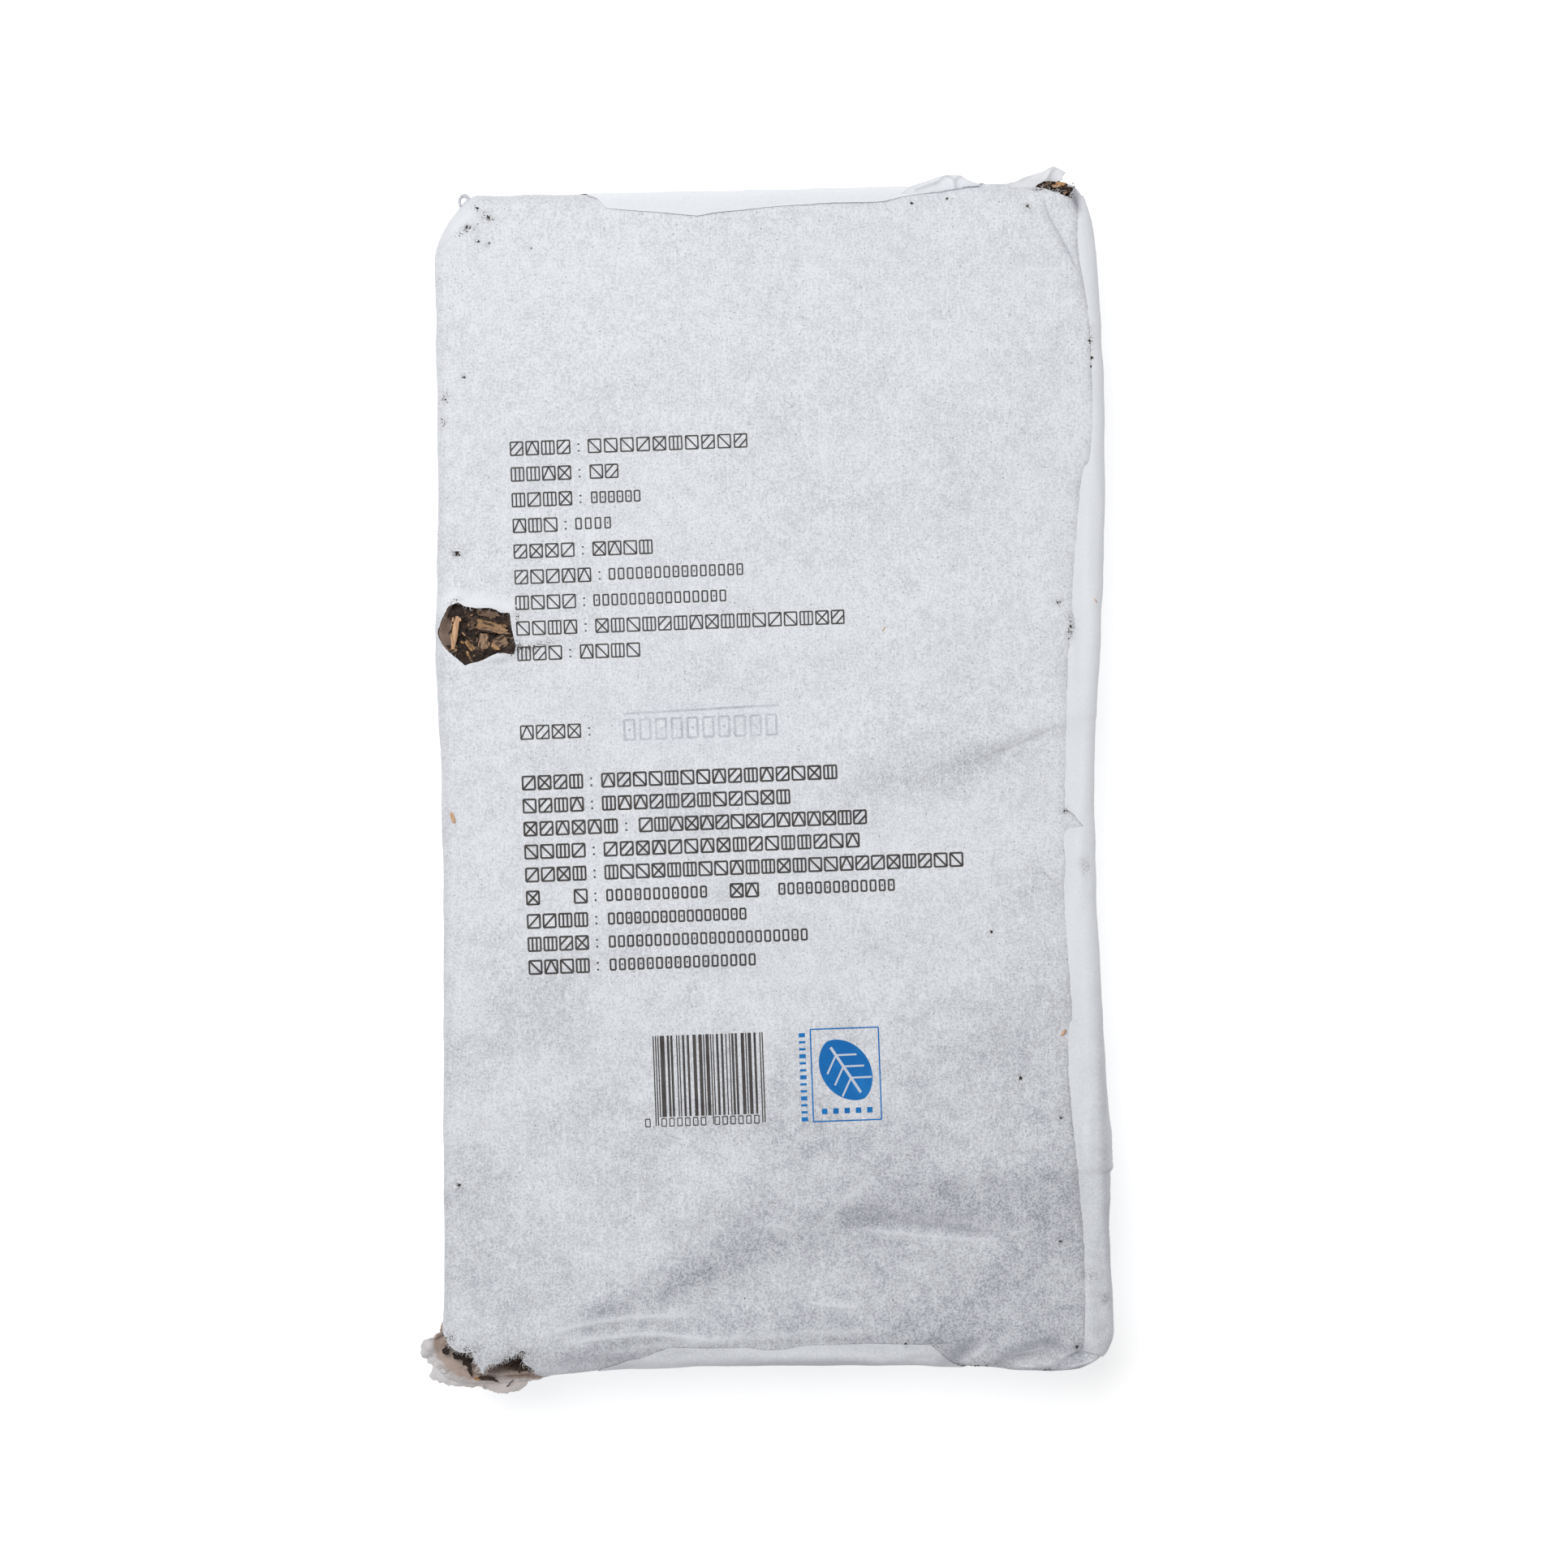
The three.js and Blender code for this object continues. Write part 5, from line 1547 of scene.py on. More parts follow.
# Leaves that show at the tears: middle, length, width, turn, tilt, roll, bend, fold, tone
LEAVES = [
    ((-62.4, 35.1, 31.1), 6.8, 2.6, -11, 2, -14, 0.2, 0.30, 0.70),
    ((-62.0, 34.0, 31.0), 6.6, 0.8, -12, 2, 30, 0.1, 0.10, 0.52),
    ((-64.2, 31.8, 30.8), 3.0, 2.3, 78, 3, -6, 0.3, 0.10, 0.64),
    ((-63.4, 33.9, 31.3), 4.4, 0.40, -10, 0, 0, 0.1, 0.10, 0.02),
    ((-62.6, 31.9, 31.3), 2.4, 0.34, 82, 0, 0, 0.1, 0.10, 0.04),
    ((-61.0, 32.9, 31.3), 2.8, 0.36, 22, 0, 0, 0.1, 0.10, 0.04),
    ((-62.6, 36.5, 31.3), 4.8, 0.46, -13, 0, 0, 0.2, 0.10, 0.05),
    ((-63.2, 35.6, 31.4), 2.6, 0.34, -16, 0, 0, 0.1, 0.10, 0.22),
    ((-60.8, 31.4, 30.9), 3.5, 3.1, 30, -4, 8, 0.4, 0.15, 0.63),
    ((-61.9, 30.6, 31.2), 2.9, 0.95, -28, 0, 8, 0.1, 0.10, 0.92),
    ((-67.4, 30.9, 30.9), 2.7, 1.1, -52, 4, -14, 0.1, 0.20, 0.80),
    ((-63.4, 37.9, 31.0), 4.9, 1.6, -10, -2, 12, 0.1, 0.08, 0.40),
    ((-60.6, 37.3, 31.1), 2.6, 1.0, -20, 0, 0, 0.1, 0.10, 0.06),
    ((-66.9, 35.3, 30.7), 2.1, 1.2, 85, 0, 10, 0.2, 0.25, 0.36),
    ((-66.7, 37.0, 30.6), 2.7, 1.4, -15, 4, -10, 0.3, 0.20, 0.20),
    ((-64.6, 29.7, 30.6), 3.6, 1.5, 22, 0, 6, 0.2, 0.20, 0.16),
    ((-67.6, 28.8, 30.7), 1.7, 0.7, -60, 0, 10, 0.1, 0.20, 0.76),
    ((-66.8, 28.4, 30.7), 1.3, 0.6, 20, 0, -8, 0.1, 0.10, 0.68),
    ((-69.0, 31.5, 30.9), 0.8, 0.5, -30, 0, 0, 0.1, 0.10, 0.86),
    ((-68.6, 34.6, 30.3), 2.4, 1.1, 70, 5, 12, 0.2, 0.20, 0.10),
    ((-69.1, 30.2, 30.4), 2.2, 0.9, -40, 0, 20, 0.1, 0.20, 0.14),
    ((-72.8, -126.1, 27.2), 2.1, 1.7, 40, 8, -10, 0.3, 0.20, 0.04),
    ((-69.1, -127.1, 27.5), 4.3, 2.5, -6, 5, -8, 0.3, 0.20, 0.02),
    ((-68.1, -128.2, 27.0), 2.6, 2.2, 80, 6, 10, 0.2, 0.20, 0.02),
    ((-66.9, -127.8, 27.3), 1.4, 0.8, 60, 0, 0, 0.1, 0.10, 0.02),
    ((-61.0, -128.3, 28.2), 4.9, 1.8, 14, 5, 14, 0.2, 0.20, 0.08),
    ((-57.9, -127.9, 28.5), 3.6, 1.9, 38, 0, -12, 0.3, 0.20, 0.10),
    ((-56.3, -129.7, 27.9), 4.4, 1.8, -10, -4, 8, 0.3, 0.20, 0.06),
    ((-54.4, -130.3, 27.9), 2.4, 1.2, -22, 0, 15, 0.2, 0.20, 0.40),
    ((-63.4, -128.7, 28.0), 2.6, 0.9, 8, 0, -10, 0.2, 0.20, 0.16),
    ((-59.4, -129.8, 27.5), 3.1, 0.8, -4, 0, 0, 0.2, 0.10, 0.36),
    ((-63.8, -132.4, 27.5), 3.4, 0.9, -4, 0, 6, 0.1, 0.15, 0.14),
    ((-65.7, -132.4, 27.5), 1.8, 0.8, 5, 0, 0, 0.1, 0.10, 0.78),
    ((-62.0, -132.9, 27.4), 1.9, 0.4, -18, 0, 0, 0.1, 0.10, 0.10),
    ((63.7, 133.3, 31.2), 2.1, 0.75, -5, 0, 10, 0.1, 0.1, 0.90),
    ((62.8, 132.8, 31.2), 1.9, 0.6, 4, 0, -8, 0.1, 0.1, 0.98),
    ((64.7, 132.7, 31.1), 1.7, 1.1, -30, 0, 10, 0.1, 0.1, 0.10),
    ((60.6, 132.9, 31.0), 2.4, 1.0, 10, 0, 5, 0.1, 0.1, 0.35),
    ((61.3, 133.4, 31.0), 1.2, 0.5, 30, 0, 5, 0.1, 0.1, 0.80),
    ((64.9, 131.4, 31.1), 1.0, 0.6, 40, 0, 0, 0.0, 0.1, 0.90),
    ((65.7, 132.2, 31.1), 1.3, 0.5, 60, 0, 0, 0.0, 0.1, 0.10),
]
# Stems: places along each, radius, how round
STEMS = [
    ([(-70.0, 37.3, 31.2), (-70.4, 34.8, 31.4), (-70.8, 32.0, 31.3), (-71.1, 30.0, 30.9)], 0.66, 0.55),
    ([(-69.6, 37.0, 31.4), (-69.4, 36.2, 31.3)], 0.30, 0.6),
    ([(-71.1, 37.5, 30.7), (-71.0, 36.1, 30.8)], 0.20, 0.6),
    ([(-71.5, 33.6, 30.5), (-71.4, 31.9, 30.4)], 0.20, 0.6),
    ([(-69.0, 33.8, 31.1), (-68.7, 33.4, 31.4), (-68.3, 33.0, 31.1)], 0.15, 0.8),
    ([(-71.4, -6.2, 32.0), (-71.0, -7.4, 32.0), (-70.6, -8.6, 31.9)], 0.42, 0.7),
    ([(64.9, -54.4, 32.2), (63.9, -55.8, 32.1)], 0.34, 0.6),
    ([(24.2, 33.9, 31.8), (24.6, 34.4, 32.0), (24.9, 35.1, 31.8)], 0.10, 0.8),
    ([(71.3, 41.2, 32.2), (71.8, 40.3, 32.0)], 0.10, 0.8),
]
# Dark shreds: places along each, and its radius at either end
SHREDS = [
    ([(-68.1, -128.4, 27.3), (-67.8, -129.6, 27.1), (-67.5, -130.9, 27.7), (-67.0, -131.9, 28.0)],
     0.95, 0.14),
    ([(-73.0, -125.8, 27.6), (-72.9, -125.1, 28.0), (-72.3, -124.7, 28.2), (-71.7, -124.9, 28.1)],
     0.18, 0.12),
    ([(-60.1, -134.9, 26.6), (-59.0, -133.9, 27.8), (-57.9, -132.6, 28.2)], 0.16, 0.08),
    ([(-64.5, -134.0, 26.9), (-64.2, -134.9, 26.6)], 0.07, 0.04),
    ([(-56.8, -125.5, 31.5), (-58.3, -126.6, 31.2), (-59.9, -127.2, 30.6)], 0.12, 0.08),
    ([(-57.5, -126.4, 31.4), (-58.7, -127.4, 30.8)], 0.10, 0.06),
    ([(-70.6, 40.3, 31.4), (-70.2, 39.9, 31.5), (-69.9, 39.4, 31.4)], 0.14, 0.10),
]
# Single crumbs on the paper: place, size, stretch
CRUMBS = [
    (-70.1, 51.3, 1.1, 1.2), (-69.6, 50.9, 0.6, 1.0), (-68.5, 90.3, 0.6, 1.6),
    (-69.6, -88.8, 0.9, 1.1), (48.5, -32.7, 0.7, 1.2), (54.8, -65.1, 0.9, 1.0),
    (63.9, -73.8, 0.6, 1.0), (67.4, -124.8, 0.8, 1.3), (30.6, 128.9, 0.7, 1.4),
    (38.6, 130.0, 0.6, 1.2), (56.4, 128.3, 0.7, 1.0), (70.5, 98.4, 1.1, 1.6),
    (70.8, 94.6, 1.3, 1.5), (70.6, 92.7, 0.8, 1.4), (70.7, 96.4, 0.8, 1.3), (64.6, -5.9, 0.5, 1.3),
    (66.0, 35.1, 0.8, 1.2), (63.1, 40.3, 0.7, 1.2), (-65.6, 127.7, 0.6, 1.8),
    (-63.1, 125.8, 0.8, 2.0), (-67.9, 123.5, 0.8, 1.6), (-65.4, 120.4, 0.6, 1.6),
    (-63.1, 119.9, 0.5, 1.0), (26.6, -114.2, 0.4, 1.0), (-53.7, 118.8, 0.3, 1.6),
    (-6.3, -113.9, 0.4, 1.0), (63.6, -101.3, 0.6, 1.0),
]
HOLE_MIDDLE, HOLE_REACH = (-66.2, 33.8), (7.8, 6.2)


def small_leaf(place, length, width, seed, drawn):
    """A small broken bit of leaf that lies nearly flat."""
    return flake(place, length, width, drawn.uniform(0, 180), seed, drawn.uniform(-14, 14),
                 drawn.uniform(-30, 30), bend=0.1, fold=0.2, thick=0.2, rough=0.25)


def add_tear_bed(heap, drawn):
    """Small broken leaves all over the brick that the left tear shows, higher towards the hollow's edge."""
    for number in range(300):
        angle, reach = drawn.uniform(0, 2 * math.pi), math.sqrt(drawn.uniform(0, 1))
        x = HOLE_MIDDLE[0] + HOLE_REACH[0] * reach * math.cos(angle)
        y = HOLE_MIDDLE[1] + HOLE_REACH[1] * reach * math.sin(angle)
        if x < -71.2 - 1.6 * smoothstep(35.5, 37.5, y):
            continue
        length, width = drawn.uniform(0.8, 3.0), drawn.uniform(0.25, 0.9)
        height = 29.9 + 0.5 * reach + drawn.uniform(-0.2, 0.5)
        tone = drawn.choice([0.0, 0.05, 0.15, 0.35, 0.7], p=[0.4, 0.25, 0.2, 0.1, 0.05])
        leaf, grain_places = small_leaf((x, y, height), length, width, 200 + number, drawn)
        heap.add(leaf, tone, grain_places)


def add_burst_bed(heap, drawn):
    """Small broken leaves under the torn edge at the burst corner."""
    for number in range(90):
        t = drawn.uniform(0, 1)
        y = -128.3 - 1.5 * t**2 + drawn.normal(0, 0.45)
        place = (-63.8 + 10.6 * t, y, 27.9 + drawn.uniform(-0.4, 0.5))
        length, width = drawn.uniform(0.5, 1.8), drawn.uniform(0.2, 0.7)
        leaf, grain_places = small_leaf(place, length, width, 700 + number, drawn)
        heap.add(leaf, drawn.choice([0.0, 0.12, 0.4], p=[0.6, 0.3, 0.1]), grain_places)


def make_leaves(tea):
    """The larger leaves and the dark shreds at the tears, over beds of small broken leaves."""
    heap = Heap()
    for number, (middle, length, width, turn, tilt, roll, bend, fold, tone) in enumerate(LEAVES):
        leaf, grain_places = flake(middle, length, width, turn, 120 + number, tilt, roll, bend, fold)
        heap.add(leaf, tone, grain_places)
    drawn = np.random.default_rng(102)
    add_tear_bed(heap, drawn)
    for places, start, end in SHREDS:
        line = spread(np.array(places, float), 14)
        uneven = 1 + 0.15 * noise(line[:, 0], line[:, 1], 0.8, 106)
        heap.add(tube(line, np.linspace(start, end, 14) * uneven, 7, 0.7), 0.02)
    add_burst_bed(heap, drawn)
    heap.make("broken_leaves", tea, "tea")


def make_stems(stem):
    """Tan stems and slivers, thinner towards their split ends."""
    heap = Heap()
    for places, radius, roundness in STEMS:
        line = spread(np.array(places, float), 12)
        t = np.linspace(0, 1, 12)
        uneven = 1 + 0.10 * noise(t * 9, t * 0, 1, int(radius * 100))
        girth = radius * (1 - 0.45 * np.abs(2 * t - 1) ** 3) * uneven
        heap.add(tube(line, girth, 9, roundness))
    heap.make("tea_stems", stem, "tea")


def crumb_places(drawn):
    """Flat places, sizes and stretches of the single crumbs, and of fine grains in each rubbed mark."""
    flat = [(x, y) for x, y, _, _ in CRUMBS]
    sizes = [size for _, _, size, _ in CRUMBS]
    stretches = [stretch for _, _, _, stretch in CRUMBS]
    for (mx, my), along, across, turn, strength in DUST_MARKS:
        for _ in range(int(9 * strength * (along + across))):
            offset = turned([(drawn.normal(0, 0.45 * along), drawn.normal(0, 0.45 * across), 0)], turn)[0]
            flat.append((mx + offset[0], my + offset[1]))
            sizes.append(drawn.uniform(0.12, 0.34))
            stretches.append(drawn.uniform(1.0, 1.8))
    return np.array(flat), sizes, stretches


def add_corner_crumbs(heap, drawn):
    """Loose grains that fill the tear at the head's right corner."""
    for number in range(420):
        t = drawn.uniform(0, 1)
        x = 58.3 + 8.0 * t + drawn.normal(0, 0.25)
        y = 133.3 - 1.4 * t**2 + drawn.normal(0, 0.55)
        height = 29.9 + drawn.uniform(0, 1.1)
        tone = drawn.choice([0.0, 0.1, 0.5], p=[0.7, 0.2, 0.1])
        heap.add(grain((x, y, height), drawn.uniform(0.25, 0.8), 1500 + number, 1.5), tone)


def make_crumbs(tea):
    """Crumbs and dust on the paper, and loose grains in the torn corner."""
    heap = Heap()
    drawn = np.random.default_rng(103)
    flat, sizes, stretches = crumb_places(drawn)
    places = folded(flat, rim_of(flat), 0.08)
    for number, (place, size, stretch) in enumerate(zip(places, sizes, stretches)):
        tone = drawn.choice([0.0, 0.1, 0.3], p=[0.6, 0.3, 0.1])
        heap.add(grain(place, size, 500 + number, stretch), tone)
    add_corner_crumbs(heap, drawn)
    heap.make("tea_crumbs", tea, "tea")


# ---------------------------------------------------------------- print

PRINT_CORNER = (-58.5, 76.1)  # the first row's left end, at half its height
PRINT_TURN = 2.1  # degrees, anticlockwise
# Marks, wide and narrow: pitch, width, height, and the fillings that one of them may have
MARK_KINDS = {
    "w": (3.5, 2.7, 2.9, ["rising", "falling", "bars", "cross", "twin", "peak"]),
    "n": (2.0, 1.15, 2.3, ["open", "open", "dot"]),
}
THIN_STROKE, THICK_STROKE, THICK_FROM = 0.31, 0.40, 70.0  # the rows farther down have thicker strokes
# Rows of print: how far below the first, and the runs in it, with their start, end and kind of mark
PRINT_ROWS = [
    (1.7, [(0, 13.9, "w"), (17.3, 53.3, "w")]), (7.4, [(0, 13.9, "w"), (17.5, 24.3, "w")]),
    (13.1, [(0, 13.9, "w"), (17.6, 29.0, "n")]), (18.8, [(0, 10.4, "w"), (13.9, 22.5, "n")]),
    (24.5, [(0, 14.0, "w"), (17.5, 31.3, "w")]), (30.2, [(0, 17.5, "w"), (20.9, 51.3, "n")]),
    (35.9, [(0, 13.9, "w"), (17.3, 47.3, "n")]), (41.6, [(0, 14.0, "w"), (17.5, 73.3, "w")]),
    (47.2, [(0, 10.4, "w"), (13.9, 27.7, "w")]), (64.7, [(0, 14.0, "w")]),
    (75.9, [(0, 14.0, "w"), (17.6, 70.4, "w")]), (81.0, [(0, 14.0, "w"), (17.6, 59.8, "w")]),
    (86.1, [(0, 21.4, "w"), (25.6, 76.5, "w")]), (91.2, [(0, 14.0, "w"), (17.6, 74.9, "w")]),
    (96.3, [(0, 14.0, "w"), (17.6, 97.6, "w")]),
    (101.4, [(0, 3.4, "w"), (10.6, 14.0, "w"), (17.8, 40.7, "n"), (45.2, 52.0, "w"), (56.0, 82.3, "n")]),
    (106.6, [(0, 14.0, "w"), (18.0, 49.1, "n")]), (111.7, [(0, 14.0, "w"), (18.0, 62.6, "n")]),
    (116.8, [(0, 14.0, "w"), (18.0, 50.9, "n")]),
]


def print_place(along, down):
    """A place on the print's own axes becomes a flat place on the paper."""
    c, s = cos_sin(PRINT_TURN)
    along, down = np.asarray(along, float), np.asarray(down, float)
    return np.stack([PRINT_CORNER[0] + along * c + down * s, PRINT_CORNER[1] + along * s - down * c], -1)


def frame_lines(left, right, high, low):
    """The four sides of an upright box."""
    corners = [(left, high), (right, high), (right, low), (left, low)]
    return [[start, end] for start, end in zip(corners, corners[1:] + corners[:1])]


def box_mark(x, y, width, height, filling):
    """The lines of one plain mark: an open box with one simple filling."""
    left, right, low, high = x, x + width, y + height / 2, y - height / 2
    inner = {
        "rising": [[(left, low), (right, high)]],
        "falling": [[(left, high), (right, low)]],
        "bars": [[(left + width * part, high), (left + width * part, low)] for part in (0.33, 0.67)],
        "dot": [[(x + width * 0.36, y), (x + width * 0.64, y)]],
        "open": [],
        "cross": [[(left, low), (right, high)], [(left, high), (right, low)]],
        "twin": [[(left, low - 0.35 * height), (right - 0.35 * width, high)],
                 [(left + 0.35 * width, low), (right, high + 0.35 * height)]],
        "peak": [[(left, low), (x + width / 2, high)], [(x + width / 2, high), (right, low)]],
    }
    return frame_lines(left, right, high, low) + inner[filling]


def ink_strokes(lines, width, lift=0.06):
    """Thin closed strokes of ink along lines on the print's axes, laid on the paper's surface."""
    heap = Heap()
    every = [walk(print_place(*np.array(line, float).T), 2.0) for line in lines]
    flat = []
    for line, half in zip(every, np.broadcast_to(width, len(every)) / 2):
        side = leftwards(line) * half
        flat += [line - side, line + side]
    flat = np.vstack(flat)
    ground = folded(flat, rim_of(flat), 0.0)
    start = 0
    for line in every:
        count = len(line)
        right, left = ground[start:start + count], ground[start + count:start + 2 * count]
        start += 2 * count
        up = np.array([0, 0, lift])
        rings = np.stack([right + up, left + up, left - up, right - up], 1)
        places, faces = loft(list(rings), closed=True)
        last = len(places) - 4
        ends = [(0, 1, 2), (0, 2, 3), (last, last + 2, last + 1), (last, last + 3, last + 2)]
        heap.add((places, np.vstack([faces, ends])))
    return heap


def ink_shape(loop, step=1.2, lift=0.06):
    """A filled shape of ink on the paper, from a loop on the print's axes."""
    flat, faces = filled(print_place(*np.array(loop, float).T)[::-1], step)
    ground = folded(flat, rim_of(flat), lift)
    return thicken(ground, faces, 2 * lift)


def make_rows(ink):
    """Rows of plain marks in the place of the printed lines."""
    drawn = np.random.default_rng(104)
    lines, widths = [], []
    for down, runs in PRINT_ROWS:
        for start, end, kind in runs:
            pitch, width, height, fillings = MARK_KINDS[kind]
            count = max(1, int(round((end - start) / pitch)))
            for k in range(count):
                left = start + k * (end - start) / count + 0.2
                lines += box_mark(left, down, width, height, drawn.choice(fillings))
        label_end = runs[0][1] if len(runs) < 3 else runs[1][1]
        lines += [[(label_end + 1.2, down - 0.5), (label_end + 1.6, down - 0.5)],
                  [(label_end + 1.2, down + 1.0), (label_end + 1.6, down + 1.0)]]
        stroke = THICK_STROKE if down > THICK_FROM else THIN_STROKE
        widths += [stroke] * (len(lines) - len(widths))
    ink_strokes(lines, widths).make("print_rows", ink, "paper")


CODE_LEFT, CODE_RIGHT, CODE_TOP, CODE_BOTTOM, CODE_GUARD = 26.9, 51.6, 133.0, 151.0, 152.9
CODE_MODULES = 95  # the narrowest bars and gaps that fit across it


def make_bar_code(ink):
    """A made-up row of bars of four widths, with longer ones at the ends and the middle."""
    drawn = np.random.default_rng(105)
    module = (CODE_RIGHT - CODE_LEFT) / CODE_MODULES
    at, lines, widths = 0, [], []
    while at < CODE_MODULES:
        bar, gap = drawn.choice([1, 2, 3, 4], 2, p=[0.42, 0.26, 0.18, 0.14])
        guard = at < 4 or at > 90 or 45 < at < 50
        bar, gap = (1, 1) if guard else (min(bar, CODE_MODULES - at), gap)
        x = CODE_LEFT + (at + bar / 2) * module
        lines.append([(x, CODE_TOP), (x, CODE_GUARD if guard else CODE_BOTTOM)])
        widths.append(bar * module * 0.95)
        at += bar + gap
    ink_strokes(lines, widths).make("bar_code", ink, "paper")
    marks = []
    for start, count in ((CODE_LEFT - 2.2, 1), (CODE_LEFT + 1.4, 6), (CODE_LEFT + 13.2, 6)):
        for k in range(count):
            marks += box_mark(start + k * 1.75, 152.2, 1.0, 1.7, "open")
    ink_strokes(marks, 0.22).make("bar_code_marks", ink, "paper")


BADGE_LEFT, BADGE_RIGHT, BADGE_TOP, BADGE_BOTTOM = 61.9, 77.0, 132.8, 153.2


def leaf_shape(x, y, length, width, turn):
    """A plain pointed leaf."""
    t = np.linspace(0, math.pi, 24)
    half = np.stack([-np.cos(t) * length / 2, np.sin(t) ** 1.2 * width / 2], 1)
    loop = np.vstack([half, half[-2:0:-1] * [1, -1]])
    c, s = cos_sin(turn)
    return loop @ np.array([[c, s], [-s, c]]) + [x, y]


LEAF_LONG, LEAF_WIDE, LEAF_TURN = 15.0, 10.8, 58


def make_badge(blue, pale):
    """A blue frame round a plain veined leaf over a row of small marks, with more marks up its left side."""
    left, right, top, bottom = BADGE_LEFT, BADGE_RIGHT, BADGE_TOP, BADGE_BOTTOM
    middle, leaf_down = (left + right) / 2, top + 9.2
    lines = frame_lines(left, right, top, bottom)
    widths = [0.28] * 4
    for k in range(13):
        lines.append([(left - 2.6, bottom - 0.6 - k * 1.55), (left - 1.2, bottom - 0.6 - k * 1.55)])
        widths.append(0.5 if k % 3 else 0.9)
    for k in range(5):
        lines.append([(middle - 5.6 + k * 2.5, bottom - 2.2), (middle - 4.4 + k * 2.5, bottom - 2.2)])
        widths.append(1.2)
    heap = ink_strokes(lines, widths)
    heap.add(ink_shape(leaf_shape(middle, leaf_down, LEAF_LONG, LEAF_WIDE, LEAF_TURN)))
    heap.make("badge", blue, "paper")
    c, s = cos_sin(LEAF_TURN)
    veins, widths = [[(-0.40, 0.0), (0.40, 0.0)]], [0.6]
    for start in (-0.26, -0.06, 0.14):
        for side in (-1, 1):
            veins.append([(start, 0.0), (start + 0.16, 0.26 * side)])
            widths.append(0.4)
    placed = []
    for vein in veins:
        placed.append([(middle + (u * c - v * s) * LEAF_LONG, leaf_down + (u * s + v * c) * LEAF_LONG)
                       for u, v in vein])
    ink_strokes(placed, widths, 0.10).make("badge_veins", pale, "paper")


def make_stamp(ink):
    """A faint row of larger, soft marks, with a thin line above it."""
    lines = []
    for k in range(10):
        lines += box_mark(23.2 + k * 3.5, 64.9, 2.2, 4.4, "open" if k % 2 else "dot")
    lines += [[(23, 61.3), (57.5, 60.6)]]
    ink_strokes(lines, 0.5, 0.04).make("faint_stamp", ink, "paper")


# ---------------------------------------------------------------- stage, light and camera

PHOTO_SPAN = 347.8  # width of the photo at the height of the upper face
VIEW_MIDDLE = (2.43, 0.09)
LENS, SENSOR = 85.0, 36.0
FLOOR_HALF, FLOOR_DROP, FLOOR_GLOW = 3.0, 0.0002, 0.46  # metres, metres, emission
ROOM_COLOUR, ROOM_LIGHT = (0.985, 0.99, 1.0, 1), 0.42
KEY_PLACE, KEY_SIZE, KEY_POWER = (-0.27, 0.34, 0.92), 0.75, 6.1  # metres, metres, watts


def make_camera():
    """The camera looks straight down, as in the photo."""
    camera = bpy.data.cameras.new("camera")
    camera.lens = LENS
    camera.sensor_width = SENSOR
    camera.clip_start = 0.05
    camera.clip_end = 20
    holder = bpy.data.objects.new("camera", camera)
    holder.location = (VIEW_MIDDLE[0] * MM, VIEW_MIDDLE[1] * MM, (TOP + PHOTO_SPAN * LENS / SENSOR) * MM)
    bpy.context.scene.collection.objects.link(holder)
    bpy.context.scene.camera = holder


def make_light(name, place, size, power):
    """A soft round light that faces the pack."""
    lamp = bpy.data.lights.new(name, "AREA")
    lamp.shape = "DISK"
    lamp.size = size
    lamp.energy = power
    holder = bpy.data.objects.new(name, lamp)
    holder.location = place
    holder.rotation_euler = (-Vector(place)).to_track_quat("-Z", "Y").to_euler()
    bpy.context.scene.collection.objects.link(holder)


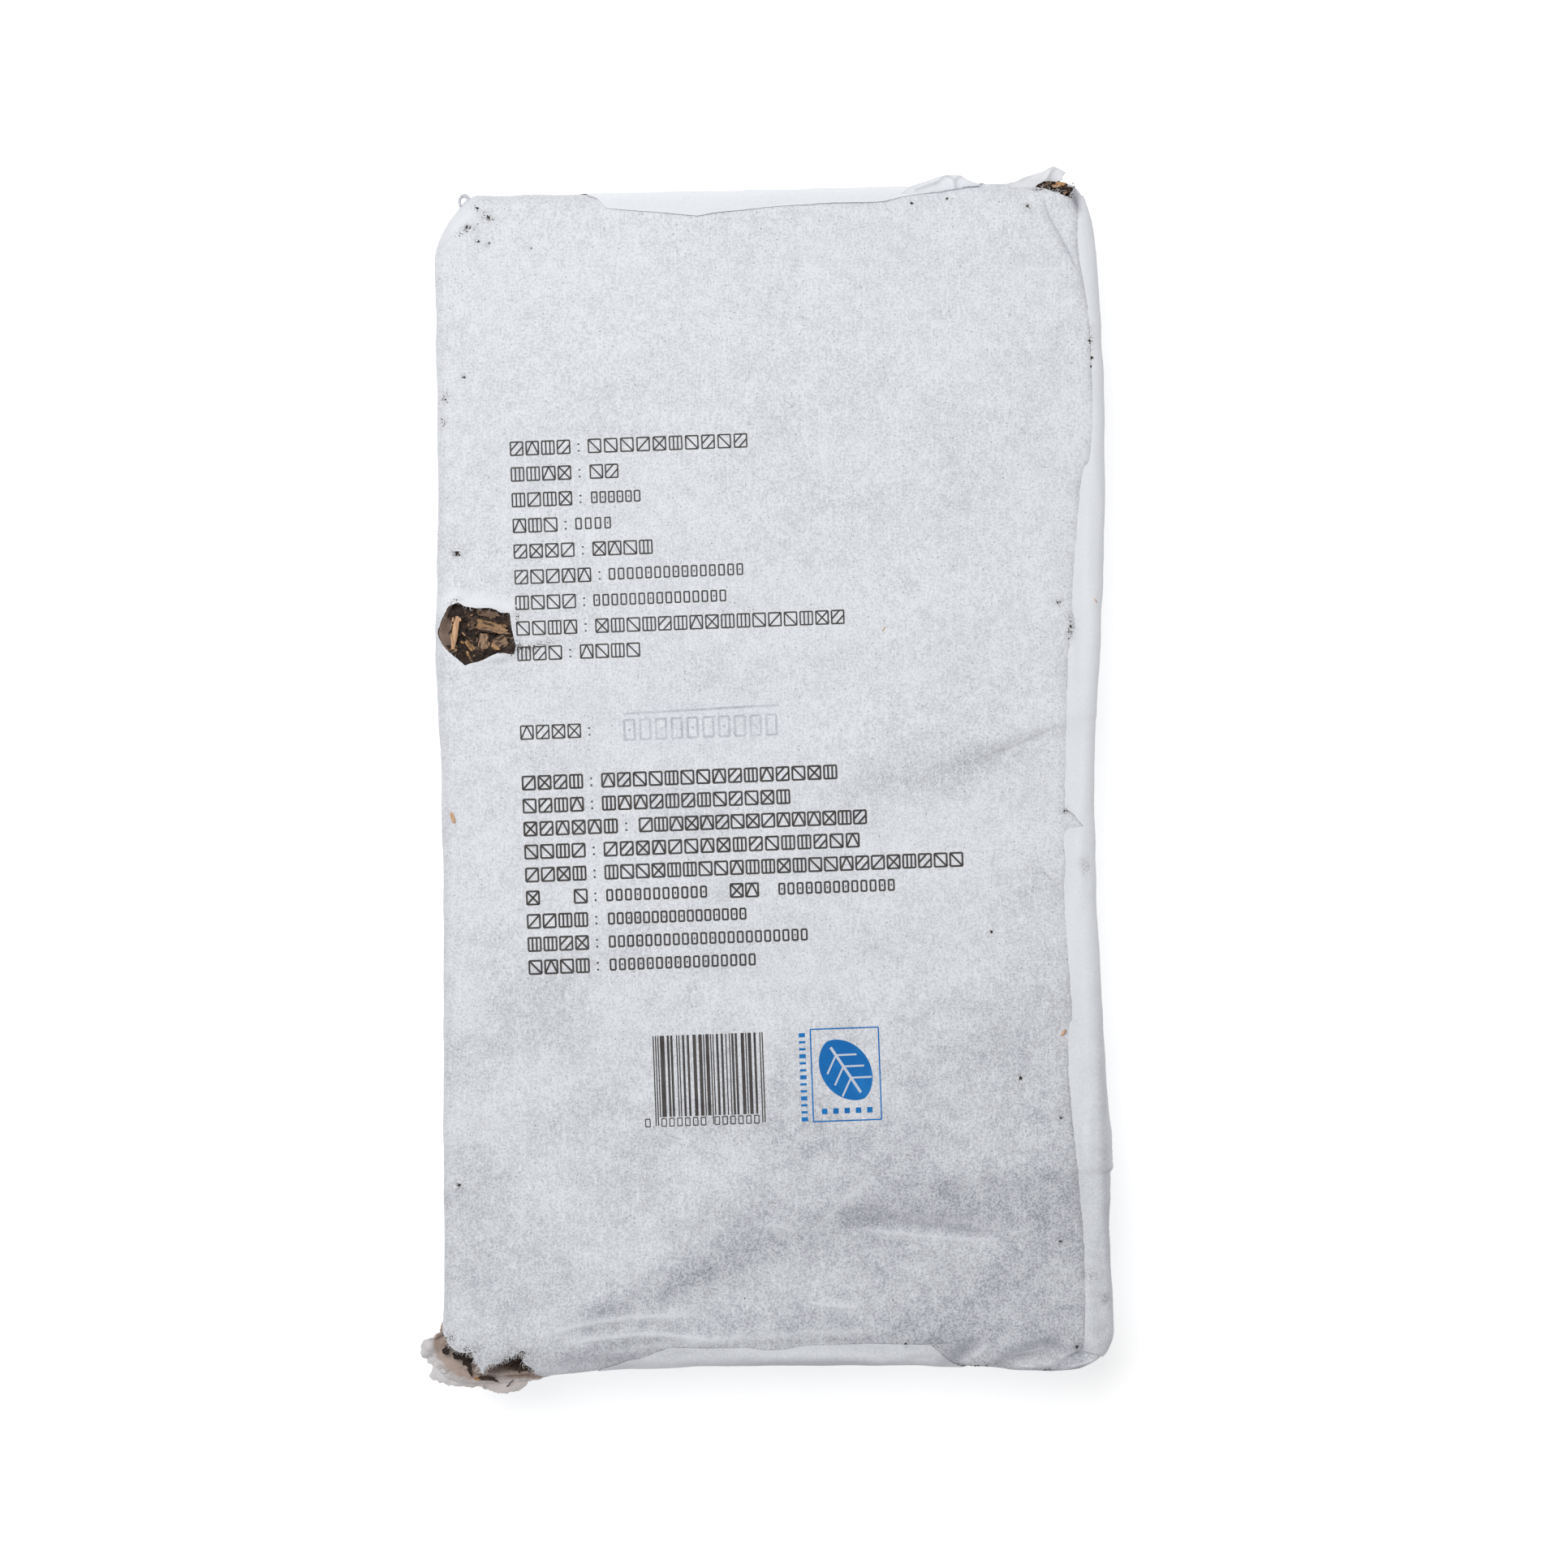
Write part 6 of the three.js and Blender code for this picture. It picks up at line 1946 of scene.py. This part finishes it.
def make_stage():
    """A plain, nearly white floor, soft light from the upper left, and a pale room."""
    shade = Shade("pale_floor")
    uneven = shade.span(shade.noise(60.0, 3.0), 0.3, 0.7)
    colour = shade.mix(uneven, (0.90, 0.90, 0.90), (0.92, 0.92, 0.92))
    shade.finish.inputs["Emission Color"].default_value = (1, 1, 1, 1)
    shade.finish.inputs["Emission Strength"].default_value = FLOOR_GLOW
    material = shade.finish_with(colour, 0.9)
    mesh = bpy.data.meshes.new("floor")
    corners = [(x * FLOOR_HALF, y * FLOOR_HALF, 0) for x, y in ((-1, -1), (1, -1), (1, 1), (-1, 1))]
    mesh.from_pydata(corners, [], [(0, 1, 2, 3)])
    mesh.materials.append(material)
    floor = bpy.data.objects.new("floor", mesh)
    floor.location = (0, 0, -FLOOR_DROP)
    bpy.context.scene.collection.objects.link(floor)
    world = bpy.data.worlds.new("pale_room")
    world.use_nodes = True
    world.node_tree.nodes["Background"].inputs["Color"].default_value = ROOM_COLOUR
    world.node_tree.nodes["Background"].inputs["Strength"].default_value = ROOM_LIGHT
    bpy.context.scene.world = world
    make_light("key", KEY_PLACE, KEY_SIZE, KEY_POWER)
    bpy.context.scene.view_settings.view_transform = "Standard"


# ---------------------------------------------------------------- making everything

make_camera()
make_stage()

paper = paper_material()
tea = tea_material()
stem = stem_material()
dark_ink = ink_material("dark_ink", (0.055, 0.048, 0.046), (0.085, 0.078, 0.076), 0.0)
blue_ink = ink_material("blue_ink", (0.003, 0.145, 0.460), (0.008, 0.195, 0.550), 0.02)
pale_ink = ink_material("pale_ink", (0.62, 0.66, 0.74), (0.55, 0.60, 0.70), 0.05)
stamp_ink = ink_material("stamp_ink", (0.50, 0.51, 0.56), (0.58, 0.59, 0.65), 0.18)

make_sheet(paper)
make_lap("seam_lap", seam_loop(), paper, 0.93, seam_relief, 0.10)
make_lap("head_flap", flap_loop(HEAD_LAP, 1, -62, 60, 71), paper, 0.95, flap_relief, 0.0)
make_lap("foot_flap", flap_loop(FOOT_LAP, -1, -50, 58, 72), paper, 1.04, flap_relief, 0.16)
make_burst_collar(paper)
# the scrap is tinted a little towards the stained inner colour, as painted shade
make_patch("corner_tongue", TONGUE, [TONGUE_FOLD], tongue_height, paper, inner=0.08)
make_patch("head_knot", HEAD_KNOT, KNOT_FOLDS, knot_height, paper, seed=97)
make_ear(paper)
make_hole_wall(paper)
make_fibres(torn_fibre_material())
make_brick(tea)
make_leaves(tea)
make_stems(stem)
make_crumbs(tea)
make_rows(dark_ink)
make_bar_code(dark_ink)
make_badge(blue_ink, pale_ink)
make_stamp(stamp_ink)
